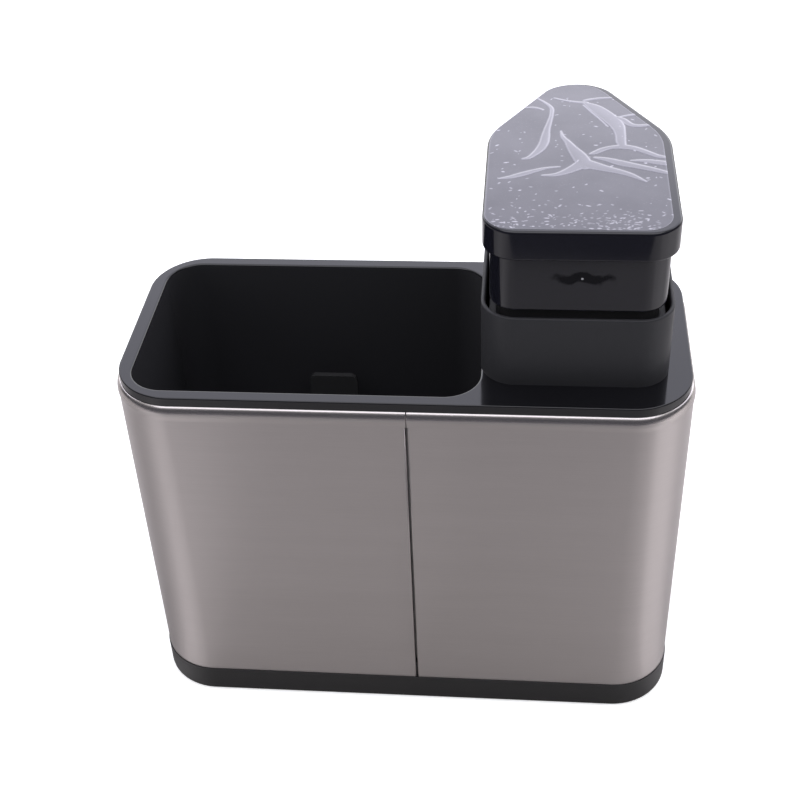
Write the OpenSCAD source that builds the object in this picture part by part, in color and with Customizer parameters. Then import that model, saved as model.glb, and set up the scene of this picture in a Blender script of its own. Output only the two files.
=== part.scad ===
// Soap pump caddy: a brushed steel sleeve on a moulded base, with a lift-out liner that holds a
// sponge well and a soap tank with a press pump. The spout points along +Y, the seam is at the back.

/* [Body] */
// Length of the steel sleeve
body_l = 205; // [185:1:225]
// Depth of the steel sleeve from back to front
body_d = 93; // [88:1:105]
// Radius of the sleeve's upright corners
corner_r = 22.4; // [18:0.2:28]
// Height of the sleeve's rolled edge above the table
crest_z = 147.1; // [135:0.1:160]
// Thickness of the steel sheet
sheet_t = 0.6; // [0.4:0.1:0.8]
// Radius of the rolled top edge
hem_r = 1.1; // [0.9:0.1:1.3]
// Height of the folded part behind the top edge
hem_h = 6; // [4:0.5:9]

/* [Seam] */
// Distance of the seam from the middle of the back
seam_x = 3.2; // [-20:0.1:20]
// Width of the seam's open groove
seam_w = 0.7; // [0.4:0.1:1.2]
// Width of the seam through the folded edge
seam_hem_w = 0.3; // [0.2:0.1:0.5]
// Depth of the two flanges that turn in at the seam
flange_d = 1.9; // [1.4:0.1:2.1]
// Thickness of the clip that grips the flanges
clip_t = 0.5; // [0.4:0.1:0.6]

/* [Base] */
// Height of the visible black base
base_h = 11.4; // [9:0.2:14]
// How far the base stands out past the steel
base_proud = 0.35; // [0.2:0.05:0.8]
// Width of the ledge that the sleeve stands on
ledge_w = 2.2; // [1.6:0.1:2.8]
// Height of the rib that locates the sleeve, above the ledge
rib_h = 8; // [5:0.5:12]
// Thickness of the rib that locates the sleeve
rib_t = 2; // [1.5:0.1:2.5]
// Thickness of the base's floor
floor_t = 2.4; // [2.2:0.1:3]
// Width of the rubber ring under the base
ring_w = 4; // [3:0.2:7]
// Thickness of the rubber ring
ring_t = 1.8; // [1.4:0.1:2]
// Distance from the base's edge to the ring
ring_in = 5; // [4:0.5:9]
// How far the ring lifts the base off the table
ring_out = 0.6; // [0.4:0.1:0.8]

/* [Liner] */
// Height of the black rim above the steel
rim_h = 3.5; // [2.5:0.1:5]
// How far the rim is set in from the steel's face
rim_inset = 1.1; // [0.8:0.1:1.6]
// Thickness of the liner's rim and deck
deck_t = 2.2; // [1.6:0.1:2.8]
// Thickness of the liner's walls and floors
liner_t = 1.6; // [1.2:0.1:2]
// Depth of the lip that drops inside the sleeve
lip_h = 7; // [5:0.5:10]
// Distance from the steel's left face to the well
well_end = 6.6; // [6:0.1:9]
// Distance from the steel's back and front faces to the well
well_side = 6.2; // [5.8:0.1:9]
// Radius of the well's corners
well_r = 12.7; // [9:0.1:16]
// Depth of the well below the deck
well_h = 80; // [50:1:100]

/* [Collar] */
// Outer width of the collar that holds the tank
collar_w = 65.2; // [60:0.2:70]
// Outer depth of the collar from back to front
collar_d = 66.4; // [62:0.2:72]
// Outer radius of the collar's corners
collar_r = 12; // [10:0.1:14]
// Height of the collar above the deck
collar_h = 27.5; // [18:0.5:36]
// Distance from the steel's right face to the collar
collar_end = 9.35; // [6:0.05:14]
// Height of the tank socket's floor above the table
socket_z = 15; // [12:0.5:30]

/* [Drain rack] */
// Gap between the rack and the well's walls
rack_gap = 0.9; // [0.6:0.1:1.5]
// Thickness of the rack's plate
rack_t = 2; // [1.5:0.1:3]
// Length of the rack's legs
rack_leg = 4; // [3:0.5:8]
// Width of one drain slot
slot_w = 3.2; // [2.5:0.1:4]
// Distance from one drain slot to the next
slot_pitch = 7.6; // [6.8:0.1:10]
// Width of the upright lifting tab
tab_w = 19.4; // [14:0.2:26]
// Height of the tab above the plate
tab_h = 26.4; // [16:0.2:40]
// Distance from the well's front wall to the tab
tab_back = 8.6; // [6:0.2:12]
// Radius of the tab's upper corners
tab_r = 3; // [2:0.2:5]

/* [Tank] */
// Gap between the tank and its socket
tank_gap = 1; // [0.6:0.1:1.6]
// Wall of the tank
tank_t = 1.6; // [1.2:0.1:2]
// How far the tank's mouth reaches up inside the lid
mouth_in = 3.4; // [3:0.1:4]
// Height of the tank's narrow mouth
mouth_h = 11; // [8:0.5:16]
// Thickness of the lid's seal
seal_t = 1; // [0.8:0.1:1.5]

/* [Lid] */
// Gap between the lid and the collar's inner face, seen from above
lid_gap = 1.25; // [0.8:0.05:2]
// Height of the lid's lower edge above the collar
lid_lift = 2.9; // [1.5:0.1:6]
// Height of the lid's outer wall
lid_h = 20.7; // [19:0.1:26]
// Wall of the lid
lid_t = 1.8; // [1.4:0.1:2.2]
// Thickness of the plate across the lid
plate_t = 2; // [1.6:0.1:2.6]

/* [Press head] */
// Gap between the head's side and the lid
head_gap = 0.45; // [0.3:0.05:1]
// How far the head reaches past the lid at the back
head_back = 2.8; // [2.7:0.1:4]
// Length of the head from back to nose
head_l = 108.1; // [98:0.1:120]
// Height of the head's side
head_h = 10.9; // [10.6:0.1:14]
// Wall of the head
head_t = 2; // [1.6:0.1:2.2]
// How far the head's side covers the lid's top
head_over = 1; // [0.6:0.1:1.6]
// Radius of the head's back corners
head_r = 11.4; // [9:0.1:14]
// Half the distance between the centres of the head's shoulders
shoulder_x = 2.2; // [1:0.1:9]
// Distance of the shoulders' centres in front of the tank's middle
shoulder_y = 25.6; // [20:0.1:30]
// Radius of the nose
nose_r = 14.6; // [12:0.1:17]
// Thickness of the clear film on top of the head
film_t = 0.15; // [0.1:0.05:0.3]
// Distance from the head's edge to the film
film_in = 2; // [1.5:0.1:4]

/* [Pump] */
// Travel of the press head
stroke = 7; // [4:0.5:7]
// Radius of the cylinder's bore
bore_r = 9; // [7.5:0.1:9.5]
// Wall of the cylinder
cyl_t = 1.4; // [1.1:0.1:1.8]
// Depth of the cylinder's bore
bore_h = 21; // [19:0.5:26]
// Height of the piston
piston_h = 6; // [5:0.2:7]
// Radius of the hollow stem
stem_r = 3.5; // [3.2:0.1:4]
// Radius of the hole through the stem
stem_hole_r = 1.6; // [1.2:0.1:1.8]
// Radius of the inlet ball
ball_r = 3; // [2.6:0.1:3.2]
// How far the inlet ball lifts off its seat
ball_lift = 1.2; // [0.8:0.1:1.6]
// Radius of the outlet ball
top_ball_r = 2; // [1.7:0.1:2.2]
// How far the outlet ball lifts off its seat
top_ball_lift = 1; // [0.6:0.1:1.2]
// Outer radius of the dip tube
dip_r = 3; // [2.6:0.1:3.4]
// Wall of the dip tube
dip_t = 0.9; // [0.6:0.1:1.1]
// Gap between the dip tube and the tank's floor
dip_gap = 4; // [2:0.5:8]
// Thickness of the spring's wire
wire_d = 1.1; // [0.9:0.1:1.2]
// Number of turns in the spring
spring_turns = 3.5; // [3:0.5:4]

/* [Spout] */
// Outer radius of the tube from the pump to the nozzle
feed_r = 2.7; // [2.4:0.1:3]
// Wall of that tube
feed_t = 1; // [0.8:0.1:1.2]
// Outer radius of the nozzle
nozzle_r = 4.4; // [4:0.1:5]
// Radius of the nozzle's hole
nozzle_hole_r = 1.6; // [1.2:0.1:2]
// How far the nozzle reaches below the head
nozzle_out = 6; // [3:0.5:10]

/* [Hidden] */
$fn = 96;
// Running clearance of shafts and pistons, on the radius
run_gap = 0.06;
// Clearance of fixed pieces that slip together
slip = 0.15;
// Gap under a piece that rests on another
seat = 0.1;
// Side room of a piece that moves past another
pass_gap = 0.5;
// Overrun of every cut
over = 1;

black = "#202022";
steel = "#a8a4a1";
rubber_black = "#18181a";
spring_steel = "#8c8c90";
natural = "#d8d8d2";
clear_grey = "#a9a9b4";

// Heights of the body
base_z = ring_out;
ledge_z = ring_out + base_h;
deck_z = crest_z + rim_h;
hem_z = crest_z - hem_r;
fold_z = crest_z - hem_h;
well_z = deck_z - well_h;
rack_z = well_z + rack_leg;
collar_z = deck_z + collar_h;

// Plan of the well and the collar
collar_x = body_l / 2 - collar_end - collar_w / 2;
well_x0 = -body_l / 2 + well_end;
well_x1 = collar_x - collar_w / 2;
well_l = well_x1 - well_x0;
well_d = body_d - 2 * well_side;
well_x = (well_x0 + well_x1) / 2;
socket_w = collar_w - 2 * liner_t;
socket_d = collar_d - 2 * liner_t;
socket_r = collar_r - liner_t;

// Lid and tank
lid_w = socket_w - 2 * lid_gap;
lid_d = socket_d - 2 * lid_gap;
lid_r = socket_r - lid_gap;
lid_z = collar_z + lid_lift;
lid_top = lid_z + lid_h;
mouth_z = lid_z + mouth_in;
plate_z = mouth_z + seal_t;
plate_top = plate_z + plate_t;
tank_w = socket_w - 2 * tank_gap;
tank_d = socket_d - 2 * tank_gap;
tank_r = socket_r - tank_gap;
mouth_w = lid_w - 2 * (lid_t + pass_gap);
mouth_d = lid_d - 2 * (lid_t + pass_gap);
mouth_r = lid_r - lid_t - pass_gap;
tank_floor = socket_z + tank_t;

// Press head, drawn about the tank's middle
head_w = lid_w + 2 * (head_gap + head_t);
head_z = lid_top - head_over;
head_top = head_z + head_h;
roof_z = head_top - head_t;
shoulder_r = head_w / 2 - shoulder_x;
// How far the outline's straight sides stand inside its arcs, so that the two cross cleanly
touch_in = 0.004;
back_y = -lid_d / 2 - head_back;
nose_y = back_y + head_l;
head_circles = [
    [head_w / 2 - head_r, back_y + head_r, head_r],
    [shoulder_x, shoulder_y, shoulder_r],
    [0, nose_y - nose_r, nose_r],
    [-shoulder_x, shoulder_y, shoulder_r],
    [-head_w / 2 + head_r, back_y + head_r, head_r]
];

// Pump, from the cylinder's flange down
flange_t = 1.6;
flange_out = 3.2;
flange_r = bore_r + cyl_t + flange_out;
flange_z = plate_top;
cap_z = flange_z + flange_t;
cap_t = 1.6;
cap_drop = 2.6;
cyl_z = cap_z - bore_h;
cage_t = 1.5;
cage_lap = 1.3;
cage_r = ball_r + cage_lap;
ball_gap = 0.3;
chamber_r = ball_r + ball_gap;
seat_lap = 0.7;
seat_hole_r = ball_r - seat_lap;
ball_rise = sqrt(ball_r * ball_r - seat_hole_r * seat_hole_r);
chamber_h = ball_rise + ball_r + ball_lift + seat;
chamber_top = cyl_z - cage_t;
seat_z = chamber_top - chamber_h;
seat_t = 1.5;
neck_h = 9;
neck_r = max(dip_r, chamber_r) + cyl_t;
neck_z = seat_z - seat_t - neck_h;
piston_top = cap_z - cap_drop - seat;
piston_z = piston_top - piston_h;
spring_room = 1.6;
spring_r = bore_r - spring_room - wire_d / 2;

// Stem, outlet valve and feed tube
boss_wall = 2.4;
boss_r = stem_r + boss_wall;
boss_z = cap_z + cap_t + stroke + pass_gap;
feed_drop = 0.4;
feed_z = roof_z - feed_r - feed_drop;
stop_t = 1;
cup_gap = 0.4;
cup_r = top_ball_r + cup_gap;
top_seat_r = min(stem_hole_r, top_ball_r - seat_lap);
top_rise = sqrt(top_ball_r * top_ball_r - top_seat_r * top_seat_r);
cup_h = top_rise + top_ball_r + seat;
stem_top = feed_z - feed_r - stop_t - top_ball_lift;
cup_z = stem_top - cup_h;
nozzle_back = 10.8;
nozzle_y = nose_y - nozzle_back;
seal_lap = 1.2;

// Flat outlines

// A rectangle with round corners
module rounded_outline(l, d, r) {
    square([l - 2 * r, d], center = true);
    square([l, d - 2 * r], center = true);
    for (sx = [-1, 1])
        for (sy = [-1, 1])
            translate([sx * (l / 2 - r), sy * (d / 2 - r)])
                circle(r = r);
}

// A plate of that outline from z0 to z1
module rounded_plate(l, d, r, z0, z1) {
    translate([0, 0, z0])
        linear_extrude(z1 - z0)
            rounded_outline(l, d, r);
}

// An upright wall of that outline, t thick
module rounded_wall(l, d, r, t, z0, z1) {
    translate([0, 0, z0])
        linear_extrude(z1 - z0)
            difference() {
                rounded_outline(l, d, r);
                rounded_outline(l - 2 * t, d - 2 * t, r - t);
            }
}

// Carries a profile round that outline; the profile's x counts outwards from the outline
module ring_sweep(l, d, r) {
    for (i = [0 : 3])
        let (sx = i == 0 || i == 3 ? 1 : -1, sy = i < 2 ? 1 : -1)
            translate([sx * (l / 2 - r), sy * (d / 2 - r), 0])
                rotate([0, 0, 90 * i])
                    rotate_extrude(angle = 90)
                        translate([r, 0])
                            children();
    for (i = [0 : 3])
        let (half = i % 2 == 0 ? l / 2 : d / 2, run = (i % 2 == 0 ? d : l) - 2 * r)
            rotate([0, 0, 90 * i])
                translate([half, 0, 0])
                    rotate([90, 0, 0])
                        linear_extrude(run, center = true)
                            children();
}

// Angle of the outward normal of the line that touches circles a and b
function touch_angle(a, b) =
    let (dx = b[0] - a[0], dy = b[1] - a[1])
        atan2(dy, dx) - acos((a[2] - b[2]) / norm([dx, dy]));

// The two points where that line touches them
function touch_points(a, b) =
    let (t = touch_angle(a, b), n = [cos(t), sin(t)])
        [[a[0], a[1]] + (a[2] - touch_in) * n, [b[0], b[1]] + (b[2] - touch_in) * n];

// The head's outline, drawn in from its edge by the given amount
module head_outline(inset) {
    c = [for (p = head_circles) [p[0], p[1], p[2] - inset]];
    count = len(c);
    polygon([for (i = [0 : count - 1]) each touch_points(c[i], c[(i + 1) % count])]);
    for (p = c)
        translate([p[0], p[1]])
            circle(r = p[2]);
}

// A plate of the head's outline
module head_plate(inset, z0, z1) {
    translate([0, 0, z0])
        linear_extrude(z1 - z0)
            head_outline(inset);
}

// Moves a piece to the tank's axis
module at_tank() {
    translate([collar_x, 0, 0])
        children();
}

module tube(r, hole_r, z0, z1) {
    difference() {
        translate([0, 0, z0])
            cylinder(r = r, h = z1 - z0);
        translate([0, 0, z0 - over])
            cylinder(r = hole_r, h = z1 - z0 + 2 * over);
    }
}

// Base and sleeve

out_l = body_l + 2 * base_proud;
out_d = body_d + 2 * base_proud;
out_r = corner_r + base_proud;

// The rubber ring's outline as a wall, with room round it
module ring_wall(room, z0, z1) {
    in = ring_in - room;
    rounded_wall(out_l - 2 * in, out_d - 2 * in, out_r - in, ring_w + 2 * room, z0, z1);
}

module base_tray() {
    in = sheet_t + slip;
    notch_w = seam_w + 2 * in;
    color(black)
        difference() {
            union() {
                rounded_wall(out_l, out_d, out_r, base_proud + ledge_w, base_z, ledge_z);
                rounded_plate(out_l, out_d, out_r, base_z, base_z + floor_t);
                rounded_wall(body_l - 2 * in, body_d - 2 * in, corner_r - in, rib_t,
                    base_z, ledge_z + rib_h);
            }
            ring_wall(slip, base_z - over, ring_t);
            translate([seam_x - notch_w / 2, -body_d / 2, ledge_z])
                cube([notch_w, in + rib_t + over, rib_h + over]);
        }
}

module rubber_ring() {
    color(rubber_black)
        ring_wall(0, 0, ring_t);
}

// Section of the sheet: the wall, the rolled edge and the fold behind it
module sheet_section() {
    translate([-sheet_t, ledge_z])
        square([sheet_t, hem_z - ledge_z]);
    translate([-hem_r, hem_z])
        circle(r = hem_r);
    translate([-2 * hem_r, fold_z])
        square([sheet_t, hem_z - fold_z]);
}

// One side's flange at the seam, with its bend
module seam_flange() {
    h = fold_z - ledge_z;
    translate([seam_w / 2, -body_d / 2 + sheet_t, ledge_z])
        cube([sheet_t, flange_d, h]);
    intersection() {
        translate([seam_w / 2 + sheet_t, -body_d / 2 + sheet_t, ledge_z])
            cylinder(r = sheet_t, h = h);
        translate([seam_w / 2, -body_d / 2, ledge_z])
            cube([sheet_t, sheet_t, h]);
    }
}

module steel_sleeve() {
    cut_d = 2 * hem_r + 2 * over;
    color(steel) {
        difference() {
            ring_sweep(body_l, body_d, corner_r)
                sheet_section();
            translate([seam_x - seam_w / 2 - sheet_t, -body_d / 2 - over, ledge_z - over])
                cube([seam_w + 2 * sheet_t, cut_d, fold_z - ledge_z + over]);
            translate([seam_x - seam_hem_w / 2, -body_d / 2 - over, fold_z - over])
                cube([seam_hem_w, cut_d, hem_h + 2 * over]);
        }
        translate([seam_x, 0, 0]) {
            seam_flange();
            mirror([1, 0, 0])
                seam_flange();
        }
    }
}

module seam_clip() {
    in = seam_w / 2 + sheet_t + slip;
    y0 = -body_d / 2 + sheet_t + seat;
    y1 = -body_d / 2 + sheet_t + flange_d + slip;
    z0 = ledge_z + rib_h + seat;
    z1 = crest_z - max(hem_h, lip_h) - pass_gap;
    color(spring_steel)
        translate([seam_x, 0, z0])
            difference() {
                translate([-in - clip_t, y0, 0])
                    cube([2 * (in + clip_t), y1 - y0 + clip_t, z1 - z0]);
                translate([-in, y0 - over, -over])
                    cube([2 * in, y1 - y0 + over, z1 - z0 + 2 * over]);
            }
}

// Liner and rack

module top_liner() {
    rim_l = body_l - 2 * rim_inset;
    rim_d = body_d - 2 * rim_inset;
    rim_r = corner_r - rim_inset;
    lip_in = 2 * hem_r + pass_gap;
    lip_z = crest_z - lip_h;
    color(black)
        difference() {
            union() {
                rounded_plate(rim_l, rim_d, rim_r, deck_z - deck_t, deck_z);
                rounded_wall(rim_l, rim_d, rim_r, deck_t, crest_z + seat, deck_z);
                rounded_wall(body_l - 2 * lip_in, body_d - 2 * lip_in, corner_r - lip_in, liner_t,
                    lip_z, deck_z);
                translate([well_x, 0, 0])
                    rounded_plate(well_l + 2 * liner_t, well_d + 2 * liner_t, well_r + liner_t,
                        well_z - liner_t, deck_z);
                at_tank()
                    rounded_plate(collar_w, collar_d, collar_r, socket_z - liner_t, collar_z);
            }
            translate([well_x, 0, 0])
                rounded_plate(well_l, well_d, well_r, well_z, deck_z + over);
            at_tank()
                rounded_plate(socket_w, socket_d, socket_r, socket_z, collar_z + over);
        }
}

rack_l = well_l - 2 * rack_gap;
rack_d = well_d - 2 * rack_gap;
rack_r = well_r - rack_gap;
slot_l = rack_d / 2 - tab_back - 2 * slot_w;
slot_n = floor((rack_l / 2 - rack_r) / slot_pitch);

module drain_rack() {
    leg_r = 2.5;
    tab_t = 2.2;
    tab_y = well_d / 2 - tab_back;
    color(black)
        translate([well_x, 0, 0]) {
            difference() {
                rounded_plate(rack_l, rack_d, rack_r, rack_z, rack_z + rack_t);
                for (i = [-slot_n : slot_n])
                    for (side = [-1, 1])
                        translate([i * slot_pitch, side * (slot_l / 2 + slot_w), rack_z - over])
                            drain_slot();
            }
            for (sx = [-1, 1])
                for (sy = [-1, 1])
                    translate([sx * (rack_l / 2 - rack_r), sy * (rack_d / 2 - rack_r / 2), well_z])
                        cylinder(r = leg_r, h = rack_leg);
            translate([0, tab_y, rack_z + rack_t])
                rotate([90, 0, 0])
                    linear_extrude(tab_t)
                        lifting_tab();
        }
}

// One round-ended slot, cut through the plate
module drain_slot() {
    run = slot_l - slot_w;
    h = rack_t + 2 * over;
    translate([-slot_w / 2, -run / 2, 0])
        cube([slot_w, run, h]);
    for (s = [-1, 1])
        translate([0, s * run / 2, 0])
            cylinder(r = slot_w / 2, h = h);
}

// Upright tab with round upper corners
module lifting_tab() {
    translate([-tab_w / 2, 0])
        square([tab_w, tab_h - tab_r]);
    translate([-tab_w / 2 + tab_r, 0])
        square([tab_w - 2 * tab_r, tab_h]);
    for (s = [-1, 1])
        translate([s * (tab_w / 2 - tab_r), tab_h - tab_r])
            circle(r = tab_r);
}

// Tank and lid

module soap_tank() {
    shoulder_z = mouth_z - mouth_h;
    color(black)
        at_tank()
            difference() {
                union() {
                    rounded_plate(tank_w, tank_d, tank_r, socket_z, shoulder_z);
                    rounded_plate(mouth_w, mouth_d, mouth_r, socket_z, mouth_z);
                }
                rounded_plate(tank_w - 2 * tank_t, tank_d - 2 * tank_t, tank_r - tank_t,
                    tank_floor, shoulder_z - tank_t);
                rounded_plate(mouth_w - 2 * tank_t, mouth_d - 2 * tank_t, mouth_r - tank_t,
                    tank_floor, mouth_z + over);
            }
}

module lid_seal() {
    color(natural)
        at_tank()
            rounded_wall(mouth_w, mouth_d, mouth_r, tank_t + seal_lap, mouth_z + seat, plate_z);
}

module pump_lid() {
    notch_w = 2 * (feed_r + pass_gap);
    notch_z = feed_z - feed_r - stroke - pass_gap;
    color(black)
        at_tank()
            difference() {
                union() {
                    rounded_wall(lid_w, lid_d, lid_r, lid_t, lid_z, lid_top);
                    rounded_plate(lid_w, lid_d, lid_r, plate_z, plate_top);
                }
                translate([0, 0, plate_z - over])
                    cylinder(r = bore_r + cyl_t + slip, h = plate_t + 2 * over);
                translate([-notch_w / 2, lid_d / 2 - lid_t - over, notch_z])
                    cube([notch_w, lid_t + 2 * over, lid_top - notch_z + over]);
            }
}

// Pump

module pump_cylinder() {
    out_r = bore_r + cyl_t;
    color(natural)
        at_tank()
            difference() {
                union() {
                    translate([0, 0, chamber_top])
                        cylinder(r = out_r, h = cap_z - chamber_top);
                    translate([0, 0, flange_z])
                        cylinder(r = flange_r, h = flange_t);
                    translate([0, 0, neck_z])
                        cylinder(r = neck_r, h = chamber_top - neck_z);
                }
                translate([0, 0, cyl_z])
                    cylinder(r = bore_r, h = bore_h + over);
                translate([0, 0, chamber_top])
                    cylinder(r = cage_r + slip, h = cage_t + over);
                translate([0, 0, seat_z])
                    cylinder(r = chamber_r, h = chamber_h + over);
                translate([0, 0, neck_z - over])
                    cylinder(r = seat_hole_r, h = seat_z - neck_z + 2 * over);
                translate([0, 0, neck_z - over])
                    cylinder(r = dip_r + slip / 2, h = neck_h + over);
            }
}

module cylinder_cap() {
    color(natural)
        at_tank()
            difference() {
                union() {
                    translate([0, 0, cap_z])
                        cylinder(r = flange_r, h = cap_t);
                    translate([0, 0, cap_z - cap_drop])
                        cylinder(r = bore_r - slip, h = cap_drop);
                }
                translate([0, 0, cap_z - cap_drop - over])
                    cylinder(r = stem_r + run_gap, h = cap_drop + cap_t + 2 * over);
            }
}

module ball_cage() {
    color(natural)
        at_tank()
            tube(cage_r, seat_hole_r, chamber_top, cyl_z);
}

module inlet_ball() {
    color(spring_steel)
        at_tank()
            translate([0, 0, seat_z + ball_rise])
                sphere(r = ball_r - run_gap / 2);
}

module dip_tube() {
    color(natural)
        at_tank()
            tube(dip_r, dip_r - dip_t, tank_floor + dip_gap, seat_z - seat_t - seat);
}

spring_sides = 6;
spring_steps = 12;

// A point on the spring's axis line, and the ring of points round it
function coil_centre(u) =
    let (a = 360 * spring_turns * u, h = piston_z - cyl_z - wire_d - 2 * seat)
        [spring_r * cos(a), spring_r * sin(a), cyl_z + seat + wire_d / 2 + h * u];
function coil_ring(u) =
    let (a = 360 * spring_turns * u, c = coil_centre(u))
        [for (k = [0 : spring_sides - 1])
            let (b = 360 * k / spring_sides, o = wire_d / 2 * cos(b))
                c + [o * cos(a), o * sin(a), wire_d / 2 * sin(b)]];

module return_spring() {
    rings = round(spring_turns * spring_steps);
    n = spring_sides;
    points = [for (i = [0 : rings]) each coil_ring(i / rings)];
    walls = [for (i = [0 : rings - 1])
        for (k = [0 : n - 1])
            let (a = i * n + k, b = i * n + (k + 1) % n)
                each [[a, b, a + n], [b, b + n, a + n]]];
    start = [for (k = [1 : n - 2]) [0, k + 1, k]];
    last = rings * n;
    end = [for (k = [1 : n - 2]) [last, last + k, last + k + 1]];
    color(spring_steel)
        at_tank()
            polyhedron(points = points, faces = concat(walls, start, end));
}

module piston_seal() {
    groove_t = 1.4;
    groove_in = 1.2;
    color(natural)
        at_tank()
            difference() {
                tube(bore_r - run_gap, stem_r, piston_z, piston_top);
                translate([0, 0, (piston_z + piston_top - groove_t) / 2])
                    tube(bore_r + over, bore_r - groove_in, 0, groove_t);
            }
}

module piston_stem() {
    color(natural)
        at_tank()
            difference() {
                translate([0, 0, piston_z])
                    cylinder(r = stem_r, h = stem_top - piston_z);
                translate([0, 0, piston_z - over])
                    cylinder(r = stem_hole_r, h = cup_z - seat_t - piston_z + over);
                translate([0, 0, piston_z - over])
                    cylinder(r = top_seat_r, h = cup_z - piston_z + 2 * over);
                translate([0, 0, cup_z])
                    cylinder(r = cup_r, h = cup_h + over);
            }
}

module outlet_ball() {
    color(spring_steel)
        at_tank()
            translate([0, 0, cup_z + top_rise])
                sphere(r = top_ball_r - run_gap / 2);
}

// Press head and spout

module press_head() {
    way_w = top_ball_r;
    color(black)
        at_tank()
            difference() {
                union() {
                    difference() {
                        head_plate(0, head_z, head_top);
                        head_plate(head_t, head_z - over, roof_z);
                    }
                    translate([0, 0, boss_z])
                        cylinder(r = boss_r, h = roof_z - boss_z);
                }
                translate([0, 0, boss_z - over])
                    cylinder(r = stem_r + run_gap, h = stem_top - boss_z + over);
                translate([0, 0, stem_top - over])
                    cylinder(r = cup_r, h = top_ball_lift + over);
                translate([-way_w / 2, -cup_r, stem_top])
                    cube([way_w, 2 * cup_r, feed_z - stem_top]);
                translate([0, 0, feed_z])
                    rotate([-90, 0, 0])
                        cylinder(r = feed_r + run_gap, h = boss_r + over);
            }
}

cover_t = 1.6;
cover_z = head_z + seat;

module nose_cover() {
    edge_y = lid_d / 2 + pass_gap;
    color(black)
        at_tank()
            difference() {
                head_plate(head_t + slip, cover_z, cover_z + cover_t);
                translate([-head_w / 2, back_y, cover_z - over])
                    cube([head_w, edge_y - back_y, cover_t + 2 * over]);
                translate([0, nozzle_y, cover_z - over])
                    cylinder(r = nozzle_r + slip, h = cover_t + 2 * over);
            }
}

module feed_tube() {
    y0 = cup_r + seat;
    y1 = nozzle_y - nozzle_hole_r;
    color(natural)
        at_tank()
            translate([0, y0, feed_z])
                rotate([-90, 0, 0])
                    tube(feed_r, feed_r - feed_t, 0, y1 - y0);
}

module spout_nozzle() {
    z0 = head_z - nozzle_out;
    lip = 1.2;
    color(black)
        at_tank()
            translate([0, nozzle_y, 0])
                difference() {
                    union() {
                        translate([0, 0, z0])
                            cylinder(r = nozzle_r, h = roof_z - seat - z0);
                        translate([0, 0, cover_z + cover_t + seat])
                            cylinder(r = nozzle_r + lip, h = lip);
                    }
                    translate([0, 0, z0 - over])
                        cylinder(r = nozzle_hole_r, h = feed_z - z0 + over);
                    translate([0, -nozzle_r - lip - over, feed_z])
                        rotate([-90, 0, 0])
                            cylinder(r = feed_r + run_gap, h = nozzle_r + lip + over - nozzle_hole_r);
                }
}

module protective_film() {
    color(clear_grey)
        at_tank()
            head_plate(film_in, head_top, head_top + film_t);
}

base_tray();
rubber_ring();
steel_sleeve();
seam_clip();
top_liner();
drain_rack();
soap_tank();
lid_seal();
pump_lid();
pump_cylinder();
cylinder_cap();
ball_cage();
inlet_ball();
dip_tube();
return_spring();
piston_seal();
piston_stem();
outlet_ball();
press_head();
nose_cover();
feed_tube();
spout_nozzle();
protective_film();
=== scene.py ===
"""Looks of a soap pump caddy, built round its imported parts. Lengths are metres, +Z is up and the seam faces -Y."""

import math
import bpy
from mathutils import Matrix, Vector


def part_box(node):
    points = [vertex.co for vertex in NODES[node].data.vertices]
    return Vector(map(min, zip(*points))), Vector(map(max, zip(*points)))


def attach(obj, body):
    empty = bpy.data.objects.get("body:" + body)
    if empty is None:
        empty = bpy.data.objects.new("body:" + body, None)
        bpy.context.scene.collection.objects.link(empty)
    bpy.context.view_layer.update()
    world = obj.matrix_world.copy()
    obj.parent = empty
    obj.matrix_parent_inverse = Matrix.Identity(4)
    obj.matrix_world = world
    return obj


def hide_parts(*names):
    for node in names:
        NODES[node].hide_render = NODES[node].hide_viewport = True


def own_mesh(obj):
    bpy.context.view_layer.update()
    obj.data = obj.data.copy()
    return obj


bl_info = {
    "name": "Soap Pump Caddy",
    "version": (1, 0, 0),
    "blender": (4, 5, 0),
    "location": "3D View > Sidebar > Caddy",
    "description": "Surfaces, finishes, floor, light and camera of a soap pump caddy",
    "category": "Object",
}

from functools import partial

import bmesh
import bpy
import numpy as np
from bpy.props import FloatProperty, FloatVectorProperty, PointerProperty, StringProperty
from mathutils import Matrix, Vector
from mathutils.geometry import delaunay_2d_cdt

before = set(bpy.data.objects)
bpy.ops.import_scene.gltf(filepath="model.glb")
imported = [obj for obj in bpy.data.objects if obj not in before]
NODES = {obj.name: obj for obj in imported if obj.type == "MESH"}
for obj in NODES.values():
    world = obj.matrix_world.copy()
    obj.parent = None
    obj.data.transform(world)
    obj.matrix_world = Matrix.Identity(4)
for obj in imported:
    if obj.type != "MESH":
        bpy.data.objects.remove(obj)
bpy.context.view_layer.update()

MM = 0.001
ARC_STEPS = 20
RING_STEPS = 48
FILLET_STEPS = 6
# An outline that is moved inwards keeps at least this radius
LEAST_R = 0.02 * MM
# Width of the flat strip beside a fillet, which keeps the shading of the flat face flat
STRIP = 0.06 * MM
# Points nearer to each other than this become one
WELD = 1e-7
SMOOTH_ANGLE = math.radians(38)
# Strength of the world's light, and of the white that the camera alone sees on the floor round the caddy
WORLD_LIGHT = 0.42
FLOOR_GLOW = 0.42


def extent(node):
    """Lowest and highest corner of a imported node, as two arrays."""
    low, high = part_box(node)
    return np.array(low), np.array(high)


SLEEVE_LOW, SLEEVE_HIGH = extent("steel_sleeve")
LID_LOW, LID_HIGH = extent("pump_lid")
HEAD_LOW, HEAD_HIGH = extent("press_head")
BASE_LOW, BASE_HIGH = extent("base_tray")
SPRING_LOW, SPRING_HIGH = extent("return_spring")
LINER_TOP = extent("top_liner")[1][2]
FILM_TOP = extent("protective_film")[1][2]
TANK_X = sum(extent("soap_tank"))[0] / 2


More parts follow.
